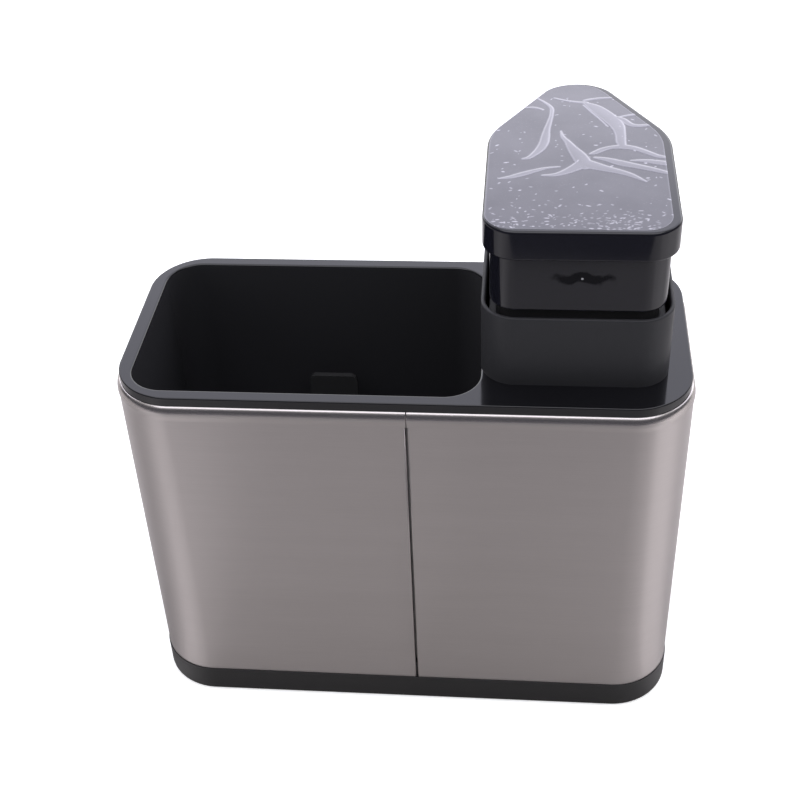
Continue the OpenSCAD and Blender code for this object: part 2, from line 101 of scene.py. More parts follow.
def length(name, default, description):
    """A length in millimetres on the panel."""
    description += ", in mm"
    return FloatProperty(name=name, description=description, default=default, min=0.0, soft_max=300.0, precision=2)


def colour(name, default, description):
    """A colour as an sRGB hex value."""
    return StringProperty(name=name, description=description, default=default, maxlen=7)


class CaddyBodySizes(bpy.types.PropertyGroup):
    corner_r: length("Corner radius", 22.4, "Radius of the sleeve's upright corners")
    sheet_t: length("Sheet", 0.5, "Thickness of the steel sheet")
    hem_t: length("Hem", 2.8, "Thickness of the rolled top edge")
    hem_h: length("Hem height", 3.4, "Height over which the sheet rolls in to its crest")
    flare: length("Hem flare", 0.3, "How far the rolled top edge stands out past the wall")
    fold_h: length("Fold height", 6.0, "Height of the fold behind the top edge")
    seam_x: length("Seam place", 3.2, "Distance of the seam from the middle of the back")
    seam_w: length("Seam width", 0.7, "Width of the seam's groove")
    seam_top_w: length("Seam width at the fold", 0.3, "Width of the seam through the folded edge")
    flange_d: length("Flange depth", 1.9, "Depth of the flanges that turn in at the seam")
    base_proud: length("Base step", 0.35, "How far the base stands out past the steel")
    base_edge_r: length("Base lower edge", 0.45, "Radius of the base's lower edge")
    rib_h: length("Base rib height", 8.0, "Height of the base's rib above the ledge")
    rib_t: length("Base rib", 2.0, "Thickness of the base's rib")
    floor_t: length("Base floor", 2.4, "Thickness of the base's floor")
    ring_in: length("Ring inset", 5.0, "Distance from the base's edge to its rubber ring")
    ring_w: length("Ring width", 4.0, "Width of the rubber ring")
    ring_t: length("Ring depth", 1.8, "Height of the ring's groove above the table")


class CaddyLinerSizes(bpy.types.PropertyGroup):
    rim_h: length("Rim height", 3.5, "Height of the rim above the steel")
    rim_inset: length("Rim inset", 1.15, "How far the rim is set in from the steel's face")
    rim_edge_r: length("Rim edge", 0.45, "Radius of the rim's upper edge")
    deck_t: length("Deck", 2.2, "Thickness of the deck")
    wall_t: length("Wall", 1.6, "Thickness of the liner's walls")
    lip_in: length("Lip inset", 2.7, "Distance from the steel's face to the lip")
    lip_h: length("Lip depth", 7.0, "Depth of the lip below the steel's crest")
    well_r: length("Well corners", 12.7, "Radius of the well's corners")
    well_end: length("Well end", 6.6, "Distance from the steel's left face to the well")
    well_side: length("Well side", 6.2, "Distance from the steel's long faces to the well")
    well_h: length("Well depth", 80.0, "Depth of the well below the deck")
    well_edge_r: length("Well edge", 0.9, "Radius of the well's upper edge")
    collar_w: length("Collar width", 65.2, "Outer width of the collar")
    collar_d: length("Collar depth", 66.4, "Outer depth of the collar")
    collar_r: length("Collar corners", 12.0, "Outer radius of the collar's corners")
    collar_edge_r: length("Collar edge", 0.7, "Radius of the collar's upper edges")
    socket_z: length("Socket floor", 15.0, "Height of the socket's floor above the table")


class CaddyPumpSizes(bpy.types.PropertyGroup):
    lid_t: length("Lid wall", 1.8, "Wall of the lid")
    lid_foot: length("Lid foot", 1.2, "How far the lid's lower edge stands below the packed lid's")
    plate_t: length("Lid plate", 2.0, "Thickness of the plate across the lid")
    plate_z: length("Lid plate place", 4.4, "Height of that plate above the lid's lower edge")
    lid_r: length("Lid corners", 9.15, "Radius of the lid's corners")
    # Place and size of the lid's darker patch, and of the painted highlight, a pale dot, in its middle
    glint_x: length("Gate mark", 0.8, "Distance of the lid's gate mark to the right of its middle")
    glint_z: length("Gate mark height", 11.5, "Height of the gate mark above the lid's lower edge")
    patch_l: length("Rubbed patch length", 20.0, "Length of the rubbed patch round the gate mark")
    patch_h: length("Rubbed patch height", 4.4, "Height of the rubbed patch")
    head_t: length("Head wall", 2.0, "Wall of the press head")
    head_r: length("Head corners", 11.4, "Radius of the head's back corners")
    head_h: length("Head height", 10.9, "Height of the head's side")
    head_edge_r: length("Head edge", 1.0, "Radius of the head's upper edge")
    head_foot_r: length("Head lower edge", 0.8, "Radius of the head's lower edge")
    shoulder_x: length("Shoulder spacing", 2.2, "Half the distance between the shoulders' centres")
    shoulder_y: length("Shoulder place", 25.6, "Distance of the shoulders in front of the tank's middle")
    nose_r: length("Nose", 14.6, "Radius of the nose")
    film_in: length("Film inset", 1.9, "Distance from the head's sides to the film")
    film_back: length("Film back inset", 1.7, "Distance from the head's back to the film")
    film_nose: length("Film nose inset", 1.2, "Distance from the nose to the film")
    film_shift: length("Film shift", 1.2, "How far the film is stuck off the middle")
    crease_h: length("Crease height", 0.5, "Height of the film's creases")
    wire_d: length("Spring wire", 1.1, "Diameter of the return spring's wire")
    coils: FloatProperty(name="Spring turns", description="Turns of the return spring", default=3.5, min=1.0)
    rack_edge: length("Rack edges", 0.9, "Width of the bevel on the rack's edges")
    tab_rise: length("Tab rise", 2.0, "How far the rack's tab stands above the packed rack's")
    tank_edge: length("Tank edges", 0.5, "Width of the bevel on the tank's edges")
    nozzle_edge: length("Nozzle edges", 0.35, "Width of the bevel on the nozzle's and the nose cover's edges")


class CaddyColours(bpy.types.PropertyGroup):
    steel: colour("Steel", "#cec8c6", "Brushed stainless steel")
    liner_black: colour("Liner", "#121215", "Black of the liner where its mould is polished")
    # The walls' paler black is partly a painted reflection of the bright floor
    satin_black_and_painted_reflection: colour("Liner walls", "#2e2e31", "Black of the liner where its mould is textured")
    head_black: colour("Head", "#121219", "Black of the lid and the press head")
    base_black: colour("Base", "#1e1d1e", "Black of the base")
    # The lid's darker patch, and the painted highlight, a pale dot, in it
    dark_patch: colour("Rubbed patch", "#0d0d11", "Rubbed patch on the lid")
    painted_glint: colour("Gate mark", "#a8a8ac", "Gate mark in the rubbed patch")
    rack_black: colour("Rack", "#363637", "Black of the rack")
    tank_black: colour("Tank", "#28282a", "Black of the tank")
    film: colour("Film", "#54535c", "Clear film over black")
    crease: colour("Crease", "#b6b4bf", "Raised creases of the film")
    natural: colour("Pump", "#dcdcd4", "Natural plastic of the pump")
    tube: colour("Tubes", "#c9c9c7", "Plastic of the dip tube and the feed tube")
    rubber: colour("Foot ring", "#141414", "Rubber of the foot ring")
    silicone: colour("Seal", "#b9b9b2", "Silicone of the lid's seal")
    strip: colour("Clip", "#8c8c8c", "Steel strip of the seam's clip")
    ball: colour("Balls", "#c8c8c8", "Stainless steel of the valve balls")
    wire: colour("Spring", "#9a9a9c", "Steel wire of the return spring")
    floor: colour("Floor", "#f4f4f4", "Floor")
    mirrored_floor: colour("Mirrored floor", "#fffbf9", "Brightest part of the floor, as the steel mirrors it")
    mirrored_room: colour("Mirrored room", "#505056", "Room past the floor, as the steel mirrors it")


class CaddyStage(bpy.types.PropertyGroup):
    lens: FloatProperty(name="Lens", description="Focal length on a 36 mm sensor", default=61.69, min=10.0)
    place: FloatVectorProperty(name="Camera", description="Place of the camera", default=(0.04366, -0.40917, 0.43906),
                               unit="LENGTH", subtype="TRANSLATION")
    pitch: FloatProperty(name="Pitch", description="How far the camera looks down", subtype="ANGLE",
                         default=math.radians(38.057))
    yaw: FloatProperty(name="Yaw", description="How far the camera looks to the right", subtype="ANGLE",
                       default=math.radians(-6.618))
    roll: FloatProperty(name="Roll", description="How far the camera is rolled", subtype="ANGLE",
                        default=math.radians(2.728))


def chosen(group):
    """The sizes or colours of one group, as the panel has them."""
    return getattr(bpy.context.scene, "caddy_" + group)


# Outlines and profiles


def hull(circles, steps=ARC_STEPS):
    """Outline stretched round circles (x, y, r), anticlockwise. A point is centre + radius × normal, and on each
    circle the normal turns from the tangent shared with the circle before to the one shared with the circle after."""
    c = np.asarray(circles, float)
    gap = np.roll(c, -1, axis=0) - c
    lean = np.arctan2(gap[:, 1], gap[:, 0]) - np.arccos(-gap[:, 2] / np.hypot(gap[:, 0], gap[:, 1]))
    start = np.roll(lean, 1)
    turn = np.mod(lean - start, 2 * math.pi)
    angle = (start[:, None] + turn[:, None] * np.linspace(0, 1, steps + 1)).ravel()
    centre = np.repeat(c[:, :2], steps + 1, axis=0)
    return centre, np.repeat(c[:, 2], steps + 1), np.stack([np.cos(angle), np.sin(angle)], -1)


def rounded(w, d, r, x=0.0, y=0.0, steps=ARC_STEPS):
    """Outline of a w × d rectangle with corner radius r, centred on x, y."""
    a, b = w / 2 - r, d / 2 - r
    return hull([(x + a, y + b, r), (x - a, y + b, r), (x - a, y - b, r), (x + a, y - b, r)], steps)


def ring(x, y, r, steps=RING_STEPS):
    """Outline of a circle: the normal turns once round its centre."""
    angle = np.arange(steps) * (2 * math.pi / steps)
    return np.full((steps, 2), (x, y)), np.full(steps, r), np.stack([np.cos(angle), np.sin(angle)], -1)


def loop(outline, out=0.0):
    """Points of an outline moved outwards by the given amount: centre + (radius + out) × normal."""
    centre, radius, normal = outline
    return centre + np.maximum(radius + out, LEAST_R)[:, None] * normal


def arc(x, z, r, start, end, steps=FILLET_STEPS, rz=None):
    """Profile points x + r cos a, z + rz sin a, for a from start to end in degrees."""
    a = np.radians(np.linspace(start, end, steps + 1))
    return np.stack([x + r * np.cos(a), z + (r if rz is None else rz) * np.sin(a)], -1)


def profile(*parts):
    """Joins profile points and arcs into one list of (distance outwards, height)."""
    return np.concatenate([np.atleast_2d(np.asarray(p, float)) for p in parts])


# Surfaces


def grid(rows, columns, closed=False):
    """Faces between the points of a grid, counted row by row. A closed grid's last column meets its first."""
    index = np.arange(rows * columns).reshape(rows, columns)
    index = np.concatenate([index, index[:, :int(closed)]], 1)
    return np.stack([index[:-1, :-1], index[:-1, 1:], index[1:, 1:], index[1:, :-1]], -1).reshape(-1, 4)


def sweep(outline, section):
    """Carries a section round an outline: each point is the outline moved out by d, at height z."""
    xy = np.stack([loop(outline, d) for d in section[:, 0]])
    rows, columns = xy.shape[:2]
    return np.dstack([xy, np.repeat(section[:, 1:], columns, 1)]).reshape(-1, 3), grid(rows, columns, closed=True)


def inside(points, polygon):
    """Whether each point is inside a polygon: a ray towards +X crosses an odd number of its edges."""
    a, b = polygon, np.roll(polygon, -1, axis=0)
    x, y = points[:, 0, None], points[:, 1, None]
    spans = (a[:, 1] > y) != (b[:, 1] > y)
    rise = np.where(b[:, 1] == a[:, 1], 1.0, b[:, 1] - a[:, 1])
    return (spans & (x < a[:, 0] + (y - a[:, 1]) / rise * (b[:, 0] - a[:, 0]))).sum(1) % 2 == 1


def region(z, outer, *holes):
    """Flat face at height z between an outer loop and its holes, as triangles on the loops' own points."""
    loops = [np.asarray(p) for p in (outer, *holes)]
    starts = np.cumsum([0] + [len(p) for p in loops])
    edges = [(int(s + i), int(s + (i + 1) % len(p))) for s, p in zip(starts, loops) for i in range(len(p))]
    found, _, faces, *_ = delaunay_2d_cdt([Vector(p) for p in np.concatenate(loops)], edges, [], 0, 1e-9)
    xy, tri = np.array([p[:] for p in found]), np.array([f[:] for f in faces])
    middle = xy[tri].mean(1)
    kept = inside(middle, loops[0])
    for hole in loops[1:]:
        kept &= ~inside(middle, hole)
    return np.column_stack([xy, np.full(len(xy), z)]), tri[kept]


def smooth_path(p, steps=4):
    """Path through all the points of p: between two of them it is the cubic whose slope at each point is half the
    way from the point before to the point after."""
    slope = np.gradient(p, axis=0)
    t = np.linspace(0, 1, steps + 1)[:-1, None, None]
    a, b, m, n = p[:-1], p[1:], slope[:-1], slope[1:]
    cubic = (2 * t ** 3 - 3 * t ** 2 + 1) * a + (t ** 3 - 2 * t ** 2 + t) * m + (3 * t ** 2 - 2 * t ** 3) * b \
        + (t ** 3 - t ** 2) * n
    return np.concatenate([cubic.transpose(1, 0, 2).reshape(-1, p.shape[1]), p[-1:]])


def solid(outline, section):
    """Closed solid: a section carried round an outline, with flat caps at its two ends."""
    caps = [region(z, loop(outline, d)) for d, z in (section[0], section[-1])]
    return [sweep(outline, section), *caps]


def shell(outline, section):
    """Closed ring: a section carried round an outline and closed on itself."""
    return [sweep(outline, np.concatenate([section, section[:1]]))]


def plain_mesh(name, points, faces):
    """A mesh of an array of points and a list of faces, as they are."""
    mesh = bpy.data.meshes.new(name)
    mesh.from_pydata(points.tolist(), [], faces)
    return mesh


def mesh_of(name, parts):
    """One mesh of several surfaces: points that coincide become one, and faces turn outwards."""
    offset, faces = 0, []
    for points, polygons in parts:
        faces.extend((polygons + offset).tolist())
        offset += len(points)
    points = np.concatenate([points for points, _ in parts])
    _, first, same = np.unique(np.round(points / WELD).astype(np.int64), axis=0, return_index=True, return_inverse=True)
    same = same.ravel()
    welded = [list(dict.fromkeys(same[f].tolist())) for f in faces]
    mesh = plain_mesh(name, points[first], [f for f in welded if len(f) > 2])
    bm = bmesh.new()
    bm.from_mesh(mesh)
    bmesh.ops.dissolve_degenerate(bm, dist=WELD, edges=bm.edges)
    bmesh.ops.recalc_face_normals(bm, faces=bm.faces)
    bm.to_mesh(mesh)
    bm.free()
    return mesh


def mark(mesh, name, domain, values):
    """Gives the points or faces of a mesh a number each, for its material to read."""
    mesh.attributes.new(name, "FLOAT", domain).data.foreach_set("value", values.astype(np.float32).ravel())


def linked(name, data):
    """A new object in the scene."""
    obj = bpy.data.objects.new(name, data)
    bpy.context.scene.collection.objects.link(obj)
    return obj


def joined(name, operation, first, second):
    """First mesh with the second added to it or cut from it, both closed."""
    obj, helper = linked(name, first), linked(name + "_part", second)
    step = obj.modifiers.new("join", "BOOLEAN")
    step.operation, step.solver, step.object = operation, "EXACT", helper
    result = bpy.data.meshes.new_from_object(obj.evaluated_get(bpy.context.evaluated_depsgraph_get()))
    for used in (obj, helper):
        bpy.data.objects.remove(used)
    return result


def place(name, mesh, look, body, slot, node):
    """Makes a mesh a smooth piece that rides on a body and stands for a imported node. Edges over the smooth angle stay
    sharp."""
    mesh.name = name
    mesh.shade_smooth()
    mesh.set_sharp_from_angle(angle=SMOOTH_ANGLE)
    mesh.materials.clear()
    mesh.materials.append(finish(look))
    obj = linked(name, mesh)
    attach(obj, body)
    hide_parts(node)
    return obj


# Materials


def linear(code, gain=1.0):
    """Linear colour of an sRGB hex value, made brighter or darker by gain."""
    c = np.array([int(code[i:i + 2], 16) for i in (1, 3, 5)]) / 255
    c = np.where(c <= 0.04045, c / 12.92, ((c + 0.055) / 1.055) ** 2.4)
    return (*(gain * c).tolist(), 1.0)


def add_node(tree, kind, *values, **named):
    """Adds a shader node. A name that is one of the node's own properties sets it. The other names are inputs, and
    plain values go to the inputs in order. A node or a socket is linked, and a number or a colour is set."""
    node = tree.nodes.new("ShaderNode" + kind)
    own = [key for key in named if key in node.bl_rna.properties and key not in bpy.types.Node.bl_rna.properties]
    for key in own:
        setattr(node, key, named.pop(key))
    sockets = [s for s in node.inputs if s.enabled]
    names = [s.name.lower().replace(" ", "_") for s in sockets]
    given = [*zip(sockets, values), *((sockets[names.index(key)], value) for key, value in named.items())]
    for socket, value in given:
        if isinstance(value, bpy.types.Node):
            value = next(s for s in value.outputs if s.enabled)
        if isinstance(value, bpy.types.NodeSocket):
            tree.links.new(value, socket)
        else:
            socket.default_value = value
    return node


def fresh_nodes(owner):
    """Empties the node tree of a material or a world, and gives the function that adds nodes to it."""
    owner.use_nodes = True
    owner.node_tree.nodes.clear()
    return partial(add_node, owner.node_tree)


# Noise of scale n has features about 1 / n metres wide

# Colour on the panel, roughness, grain of the mould and its depth in mm, IOR, and how far the gloss wanders
PLASTICS = {
    # ABS from a polished mould is a deep black that mirrors sharply, with a slight wave in the image
    "moulded_abs_liner": ("liner_black", 0.09, 1.2, 0.002, 1.52, 0.02),
    "moulded_abs_gloss": ("head_black", 0.08, 1.5, 0.0015, 1.54, 0.02),
    # The lid's gloss ABS, with a darker patch and a painted highlight on its front
    "wiped_abs_gloss": ("head_black", 0.08, 1.5, 0.0015, 1.54, 0.02),
    # Polypropylene from a finely textured mould is a soft black with a broad highlight
    "moulded_pp_base": ("base_black", 0.42, 0.5, 0.01, 1.49, 0.05),
    "moulded_pp_rack": ("rack_black", 0.22, 0.6, 0.005, 1.49, 0.05),
    # Blown polyethylene is waxy and dull
    "blown_pe_tank": ("tank_black", 0.5, 0.8, 0.006, 1.51, 0.05),
    # Rubber hardly shines, and silicone is milky and a little brighter
    "moulded_rubber": ("rubber", 0.6, 0.6, 0.02, 1.5, 0.05),
    "silicone_rubber": ("silicone", 0.45, 0.8, 0.01, 1.42, 0.05),
    # Polypropylene and polyethylene with no dye are pale and satin
    "moulded_pp_pump": ("natural", 0.35, 0.6, 0.004, 1.49, 0.05),
    "extruded_pe_tube": ("tube", 0.4, 0.8, 0.004, 1.51, 0.05),
}
# Colour on the panel and roughness: rolled strip is grey and dull, a ground ball is nearly a mirror, and drawn wire
# stands between them
METALS = {"spring_steel_strip": ("strip", 0.35), "stainless_ball": ("ball", 0.08), "spring_wire": ("wire", 0.25)}


def moulded(add, name):
    """Moulded plastic: its bump is the mould's own texture, and its gloss and tone wander a little across the face."""
    shade, roughness, grain_mm, bump_mm, ior, spread = PLASTICS[name]
    colour_code = getattr(chosen("colours"), shade)
    at = add("TexCoord").outputs["Object"]
    grain = add("TexNoise", at, scale=1000 / grain_mm)
    drift = add("TexNoise", at, scale=28.0, detail=3.0)
    return {
        "base_color": add("Mix", drift, linear(colour_code, 0.88), linear(colour_code, 1.12), data_type="RGBA"),
        "roughness": add("MapRange", drift, 0.3, 0.7, roughness - spread, roughness + spread),
        "normal": add("Bump", height=grain, distance=bump_mm * MM),
        "ior": ior,
    }


def bare_metal(add, name):
    """Drawn or ground metal: fine marks make its gloss uneven."""
    shade, roughness = METALS[name]
    marks = add("TexNoise", add("TexCoord").outputs["Object"], scale=900.0, detail=3.0)
    return {
        "base_color": linear(getattr(chosen("colours"), shade)),
        "roughness": add("MapRange", marks, to_min=roughness * 0.8, to_max=roughness * 1.2),
        "metallic": 1.0,
    }


def brushed_steel(add, name):
    """Stainless sheet brushed along its length: streaks about 25 mm long, drawn 0.5 mm wide so that they show, over a
    highlight that is stretched across the brushing. The rolled edge is smoother and mirrors more sharply."""
    uv = add("UVMap", uv_map="sheet")
    streak_at = add("Mapping", uv, scale=(40.0, 2000.0, 1.0))
    streaks = add("TexNoise", streak_at, scale=1.0, detail=3.0, roughness=0.65)
    bands = add("TexNoise", add("Mapping", uv, scale=(5.0, 90.0, 1.0)), scale=1.0)
    mixed = add("Math", streaks, bands, operation="ADD")
    tone = add("MapRange", mixed, 0.7, 1.3, 0.97, 1.03)
    gloss = add("MapRange", mixed, 0.7, 1.3, 0.30, 0.34)
    rolled = add("Attribute", attribute_name="rolled").outputs["Fac"]
    return {
        "base_color": add("VectorMath", linear(chosen("colours").steel)[:3], tone, operation="SCALE"),
        "roughness": add("MapRange", rolled, to_min=gloss, to_max=0.27),
        "anisotropic": add("MapRange", rolled, to_min=0.8, to_max=0.5),
        "normal": add("Bump", height=streaks, distance=0.0015 * MM),
        "tangent": add("Tangent", direction_type="UV_MAP", uv_map="sheet"),
        "anisotropic_rotation": 0.25,
        "metallic": 1.0,
    }


def creased_film(add, name):
    """Polythene film stuck down on the gloss head: grey with reflected light, paler where it lifts, and dotted with
    small bubbles about 0.5 mm wide. Its colour also carries a painted sheen that brightens it towards the nose, and the
    creases' painted highlights and painted shade."""
    colours = chosen("colours")
    at = add("TexCoord").outputs["Object"]
    lift = add("Attribute", attribute_name="lift").outputs["Fac"]
    # Painted sheen: the film is made brighter towards the nose. Painted shade: it is made darker in thin lines beside
    # the creases
    painted_sheen_to_nose = add("MapRange", add("SeparateXYZ", at).outputs["Y"], HEAD_LOW[1], HEAD_HIGH[1], 0.9, 1.12)
    painted_shade_hollow = add("MapRange", lift, -1.0, 0.0, 0.66, 1.0)
    shade = add("Math", painted_sheen_to_nose, painted_shade_hollow, operation="MULTIPLY")
    specks = add("TexNoise", at, scale=1400.0, detail=1.0)
    dots = add("MapRange", specks, 0.66, 0.74, 0.0, 0.07)
    veil = add("MapRange", add("TexNoise", at, scale=60.0, detail=4.0), 0.3, 0.7, 0.0, 0.08)
    some = add("Math", lift, veil, operation="ADD")
    total = add("Math", some, dots, operation="ADD", use_clamp=True)
    tint = add("Mix", total, linear(colours.film), linear(colours.crease), data_type="RGBA")
    return {
        "base_color": add("VectorMath", tint, shade, operation="SCALE"),
        "normal": add("Bump", height=specks, distance=0.006 * MM),
        "roughness": 0.22,
        "ior": 1.51,
    }


def part_textured(add, name):
    """Moulded ABS: the mould is polished for the deck and has a fine texture on the upright walls, which scatters the
    light and makes them duller. Their paler colour is partly that scatter and partly a painted reflection of the bright
    floor."""
    look = moulded(add, name)
    satin = add("Attribute", attribute_name="satin").outputs["Fac"]
    # Painted reflection: the upright walls get a paler black, on top of their duller texture
    pale = linear(chosen("colours").satin_black_and_painted_reflection)
    look["base_color"] = add("Mix", satin, look["base_color"], pale, data_type="RGBA")
    look["roughness"] = add("MapRange", satin, to_min=look["roughness"], to_max=0.42)
    look["specular_ior_level"] = add("MapRange", satin, to_min=0.5, to_max=0.2)
    return look


def part_patch_and_painted_glint(add, name):
    """The head's gloss plastic with a darker patch on the lid's front, which mirrors less light, and a painted
    highlight, a pale dot, in the middle of it. The patch is an ellipse that is bent into a wave and has an uneven edge."""
    look, s, colours = moulded(add, name), chosen("pump"), chosen("colours")
    at = add("TexCoord").outputs["Object"]
    patch_and_glint_centre = (TANK_X + s.glint_x * MM, LID_LOW[1], LID_LOW[2] + s.glint_z * MM)
    reach = (s.patch_l * MM / 2, 0.5 * MM, s.patch_h * MM / 2)
    way = add("SeparateXYZ", add("Mapping", at, vector_type="TEXTURE", location=patch_and_glint_centre, scale=reach))
    turn = add("Math", way.outputs["X"], 2 * math.pi, operation="MULTIPLY")
    wave = add("Math", turn, operation="COSINE")
    bent = add("Math", wave, -0.3, way.outputs["Z"], operation="MULTIPLY_ADD")
    patch = add("CombineXYZ", way.outputs["X"], way.outputs["Y"], bent)
    uneven = add("MapRange", add("TexNoise", at, scale=260.0), to_min=-0.5, to_max=0.5)
    edge = add("Math", add("VectorMath", patch, operation="LENGTH"), uneven, operation="ADD")
    dark_patch = add("MapRange", edge, 0.8, 1.1, 1.0, 0.0)
    dark = add("Mix", dark_patch, look["base_color"], linear(colours.dark_patch), data_type="RGBA")
    # Painted highlight: a pale dot in the middle of the patch
    away = add("VectorMath", at, patch_and_glint_centre, operation="DISTANCE")
    painted_glint = add("MapRange", away, 0.25 * MM, 0.5 * MM, 0.8, 0.0)
    look["base_color"] = add("Mix", painted_glint, dark, linear(colours.painted_glint), data_type="RGBA")
    look["specular_ior_level"] = add("MapRange", dark_patch, to_min=0.5, to_max=0.12)
    return look


LOOKS = {
    **dict.fromkeys(PLASTICS, moulded), **dict.fromkeys(METALS, bare_metal), "moulded_abs_liner": part_textured,
    "wiped_abs_gloss": part_patch_and_painted_glint, "brushed_stainless_steel": brushed_steel, "polythene_film": creased_film,
}


def finish(name):
    """The material of this name, made on first use. Its look gives the inputs of the surface."""
    if name in bpy.data.materials:
        return bpy.data.materials[name]
    material = bpy.data.materials.new(name)
    add = fresh_nodes(material)
    add("OutputMaterial", surface=add("BsdfPrincipled", **LOOKS[name](add, name)))
    return material


# Pieces


class CADDY_OT_stage(bpy.types.Operator):
    """Makes the floor, the soft light and the camera"""
    bl_idname = "caddy.stage"
    bl_label = "Stage"

    # Name, place, point that it faces, size, watts, colour, and whether gloss mirrors it. The two at the sides are
    # left out of mirror images, where the bands on the floor stand for them.
    LAMPS = (
        ("back_softbox", (0.06, 0.90, 1.05), (0.06, 0.0, 0.15), (2.6, 1.3), 19.0, "#f1f1ff", True),
        ("top_softbox", (0.06, -0.45, 1.42), (0.06, 0.0, 0.15), (1.8, 1.1), 9.5, "#f4f4ff", True),
        ("left_softbox", (-1.3, -0.15, 0.62), (0.0, 0.0, 0.05), (1.1, 1.2), 8.5, "#ffffff", False),
        ("right_softbox", (1.3, 0.0, 0.62), (0.0, 0.0, 0.05), (1.1, 1.2), 9.5, "#ffffff", False),
    )
    # The sleeve's round corners mirror these bands of the floor's paint as upright bands: a painted reflection of the
    # side lamps, and of the shade in front of the caddy. Each band is a direction in degrees from straight ahead, seen
    # from the corner, and a brightness.
    LEFT_BANDS = ((0, 0.37), (10, 0.43), (20, 0.52), (34, 0.61), (45, 0.61), (58, 0.48), (72, 0.37), (88, 0.34),
                  (110, 0.44), (180, 0.6))
    RIGHT_BANDS = ((0, 0.35), (20, 0.39), (36, 0.45), (46, 0.52), (53, 0.66), (80, 0.66), (92, 0.58), (106, 0.46),
                   (125, 0.5), (180, 0.6))

    def execute(self, context):
        scene = context.scene
        self.camera(scene)
        self.floor(scene)
        self.world(scene)
        for lamp in self.LAMPS:
            self.lamp(*lamp)
        return {"FINISHED"}

    def camera(self, scene):
        """The camera looks ahead, turned down by pitch and to the right by yaw, and is then rolled about that line."""
        look = scene.caddy_stage
        pitch, yaw, roll = look.pitch, look.yaw, look.roll
        ahead = Vector((math.sin(yaw) * math.cos(pitch), math.cos(yaw) * math.cos(pitch), -math.sin(pitch)))
        right = ahead.cross(Vector((0, 0, 1))).normalized()
        down = ahead.cross(right)
        right, down = (math.cos(roll) * right + math.sin(roll) * down, math.cos(roll) * down - math.sin(roll) * right)
        lens = bpy.data.cameras.new("photo_camera")
        lens.lens, lens.sensor_width = look.lens, 36.0
        lens.clip_start, lens.clip_end = 0.01, 50.0
        camera = scene.camera = linked("photo_camera", lens)
        camera.matrix_world = Matrix.Translation(look.place) @ Matrix((right, -down, -ahead)).transposed().to_4x4()
        scene.view_settings.view_transform = "Standard"

    def floor(self, scene):
        """A painted floor that the camera sees as white. Gloss mirrors it as dark, with a band of brightness for each
        direction from the nearest round corner of the sleeve, up to an edge ahead where the room begins."""
        half, edge = 6.0, -0.348
        corners = half * np.array([(-1, -1, 0), (1, -1, 0), (1, 1, 0), (-1, 1, 0)])
        mesh = plain_mesh("floor", corners, [(0, 1, 2, 3)])
        floor = linked("floor", mesh)
        material = bpy.data.materials.new("painted_floor")
        add = fresh_nodes(material)
        colours, corner = scene.caddy_colours, scene.caddy_body.corner_r * MM
        path = add("LightPath")
        seen = self.seen(add, path)
        at = add("TexCoord").outputs["Object"]
        white = add("MapRange", add("VectorMath", at, operation="LENGTH"), 0.5, 1.5, FLOOR_GLOW, 1.0)
        split = add("SeparateXYZ", at)
        aside = add("Math", split.outputs["X"], operation="ABSOLUTE")
        aside = add("Math", aside, SLEEVE_HIGH[0] - corner, operation="SUBTRACT")
        aside = add("Math", aside, 0.0, operation="MAXIMUM")
        ahead = add("Math", SLEEVE_LOW[1] + corner, split.outputs["Y"], operation="SUBTRACT")
        angle = add("Math", aside, ahead, operation="ARCTAN2")
        share = add("Math", angle, math.pi, operation="DIVIDE")
        side = add("Math", split.outputs["X"], 0.0, operation="GREATER_THAN")
        level = add("Mix", side, self.bands(add, share, self.LEFT_BANDS),
                    self.bands(add, share, self.RIGHT_BANDS))
        mirrored = add("Mix", level, linear("#000000"), linear(colours.mirrored_floor), data_type="RGBA")
        near = add("MapRange", split.outputs["Y"], edge - 0.004, edge + 0.004)
        sheet = add("Mix", near, linear(colours.mirrored_room), mirrored, data_type="RGBA")
        paint = add("Mix", path.outputs["Is Glossy Ray"], linear(colours.floor), sheet, data_type="RGBA")
        glow = add("Emission", strength=add("Math", seen, white, operation="MULTIPLY"))
        add("OutputMaterial", surface=add("AddShader", add("BsdfDiffuse", paint), glow))
        mesh.materials.append(material)

    def bands(self, add, share, stops):
        """Brightness by direction, where share is 1 for straight back."""
        ramp = add("ValToRGB", share)
        elements = ramp.color_ramp.elements
        while len(elements) < len(stops):
            elements.new(0.5)
        for element, (degrees, level) in zip(elements, stops):
            element.position, element.color = degrees / 180, (level, level, level, 1.0)
        return ramp

    def seen(self, add, path):
        """1 where the camera looks, straight or through glass."""
        return add("Math", path.outputs["Is Camera Ray"], path.outputs["Is Transmission Ray"], operation="ADD",
                   use_clamp=True)

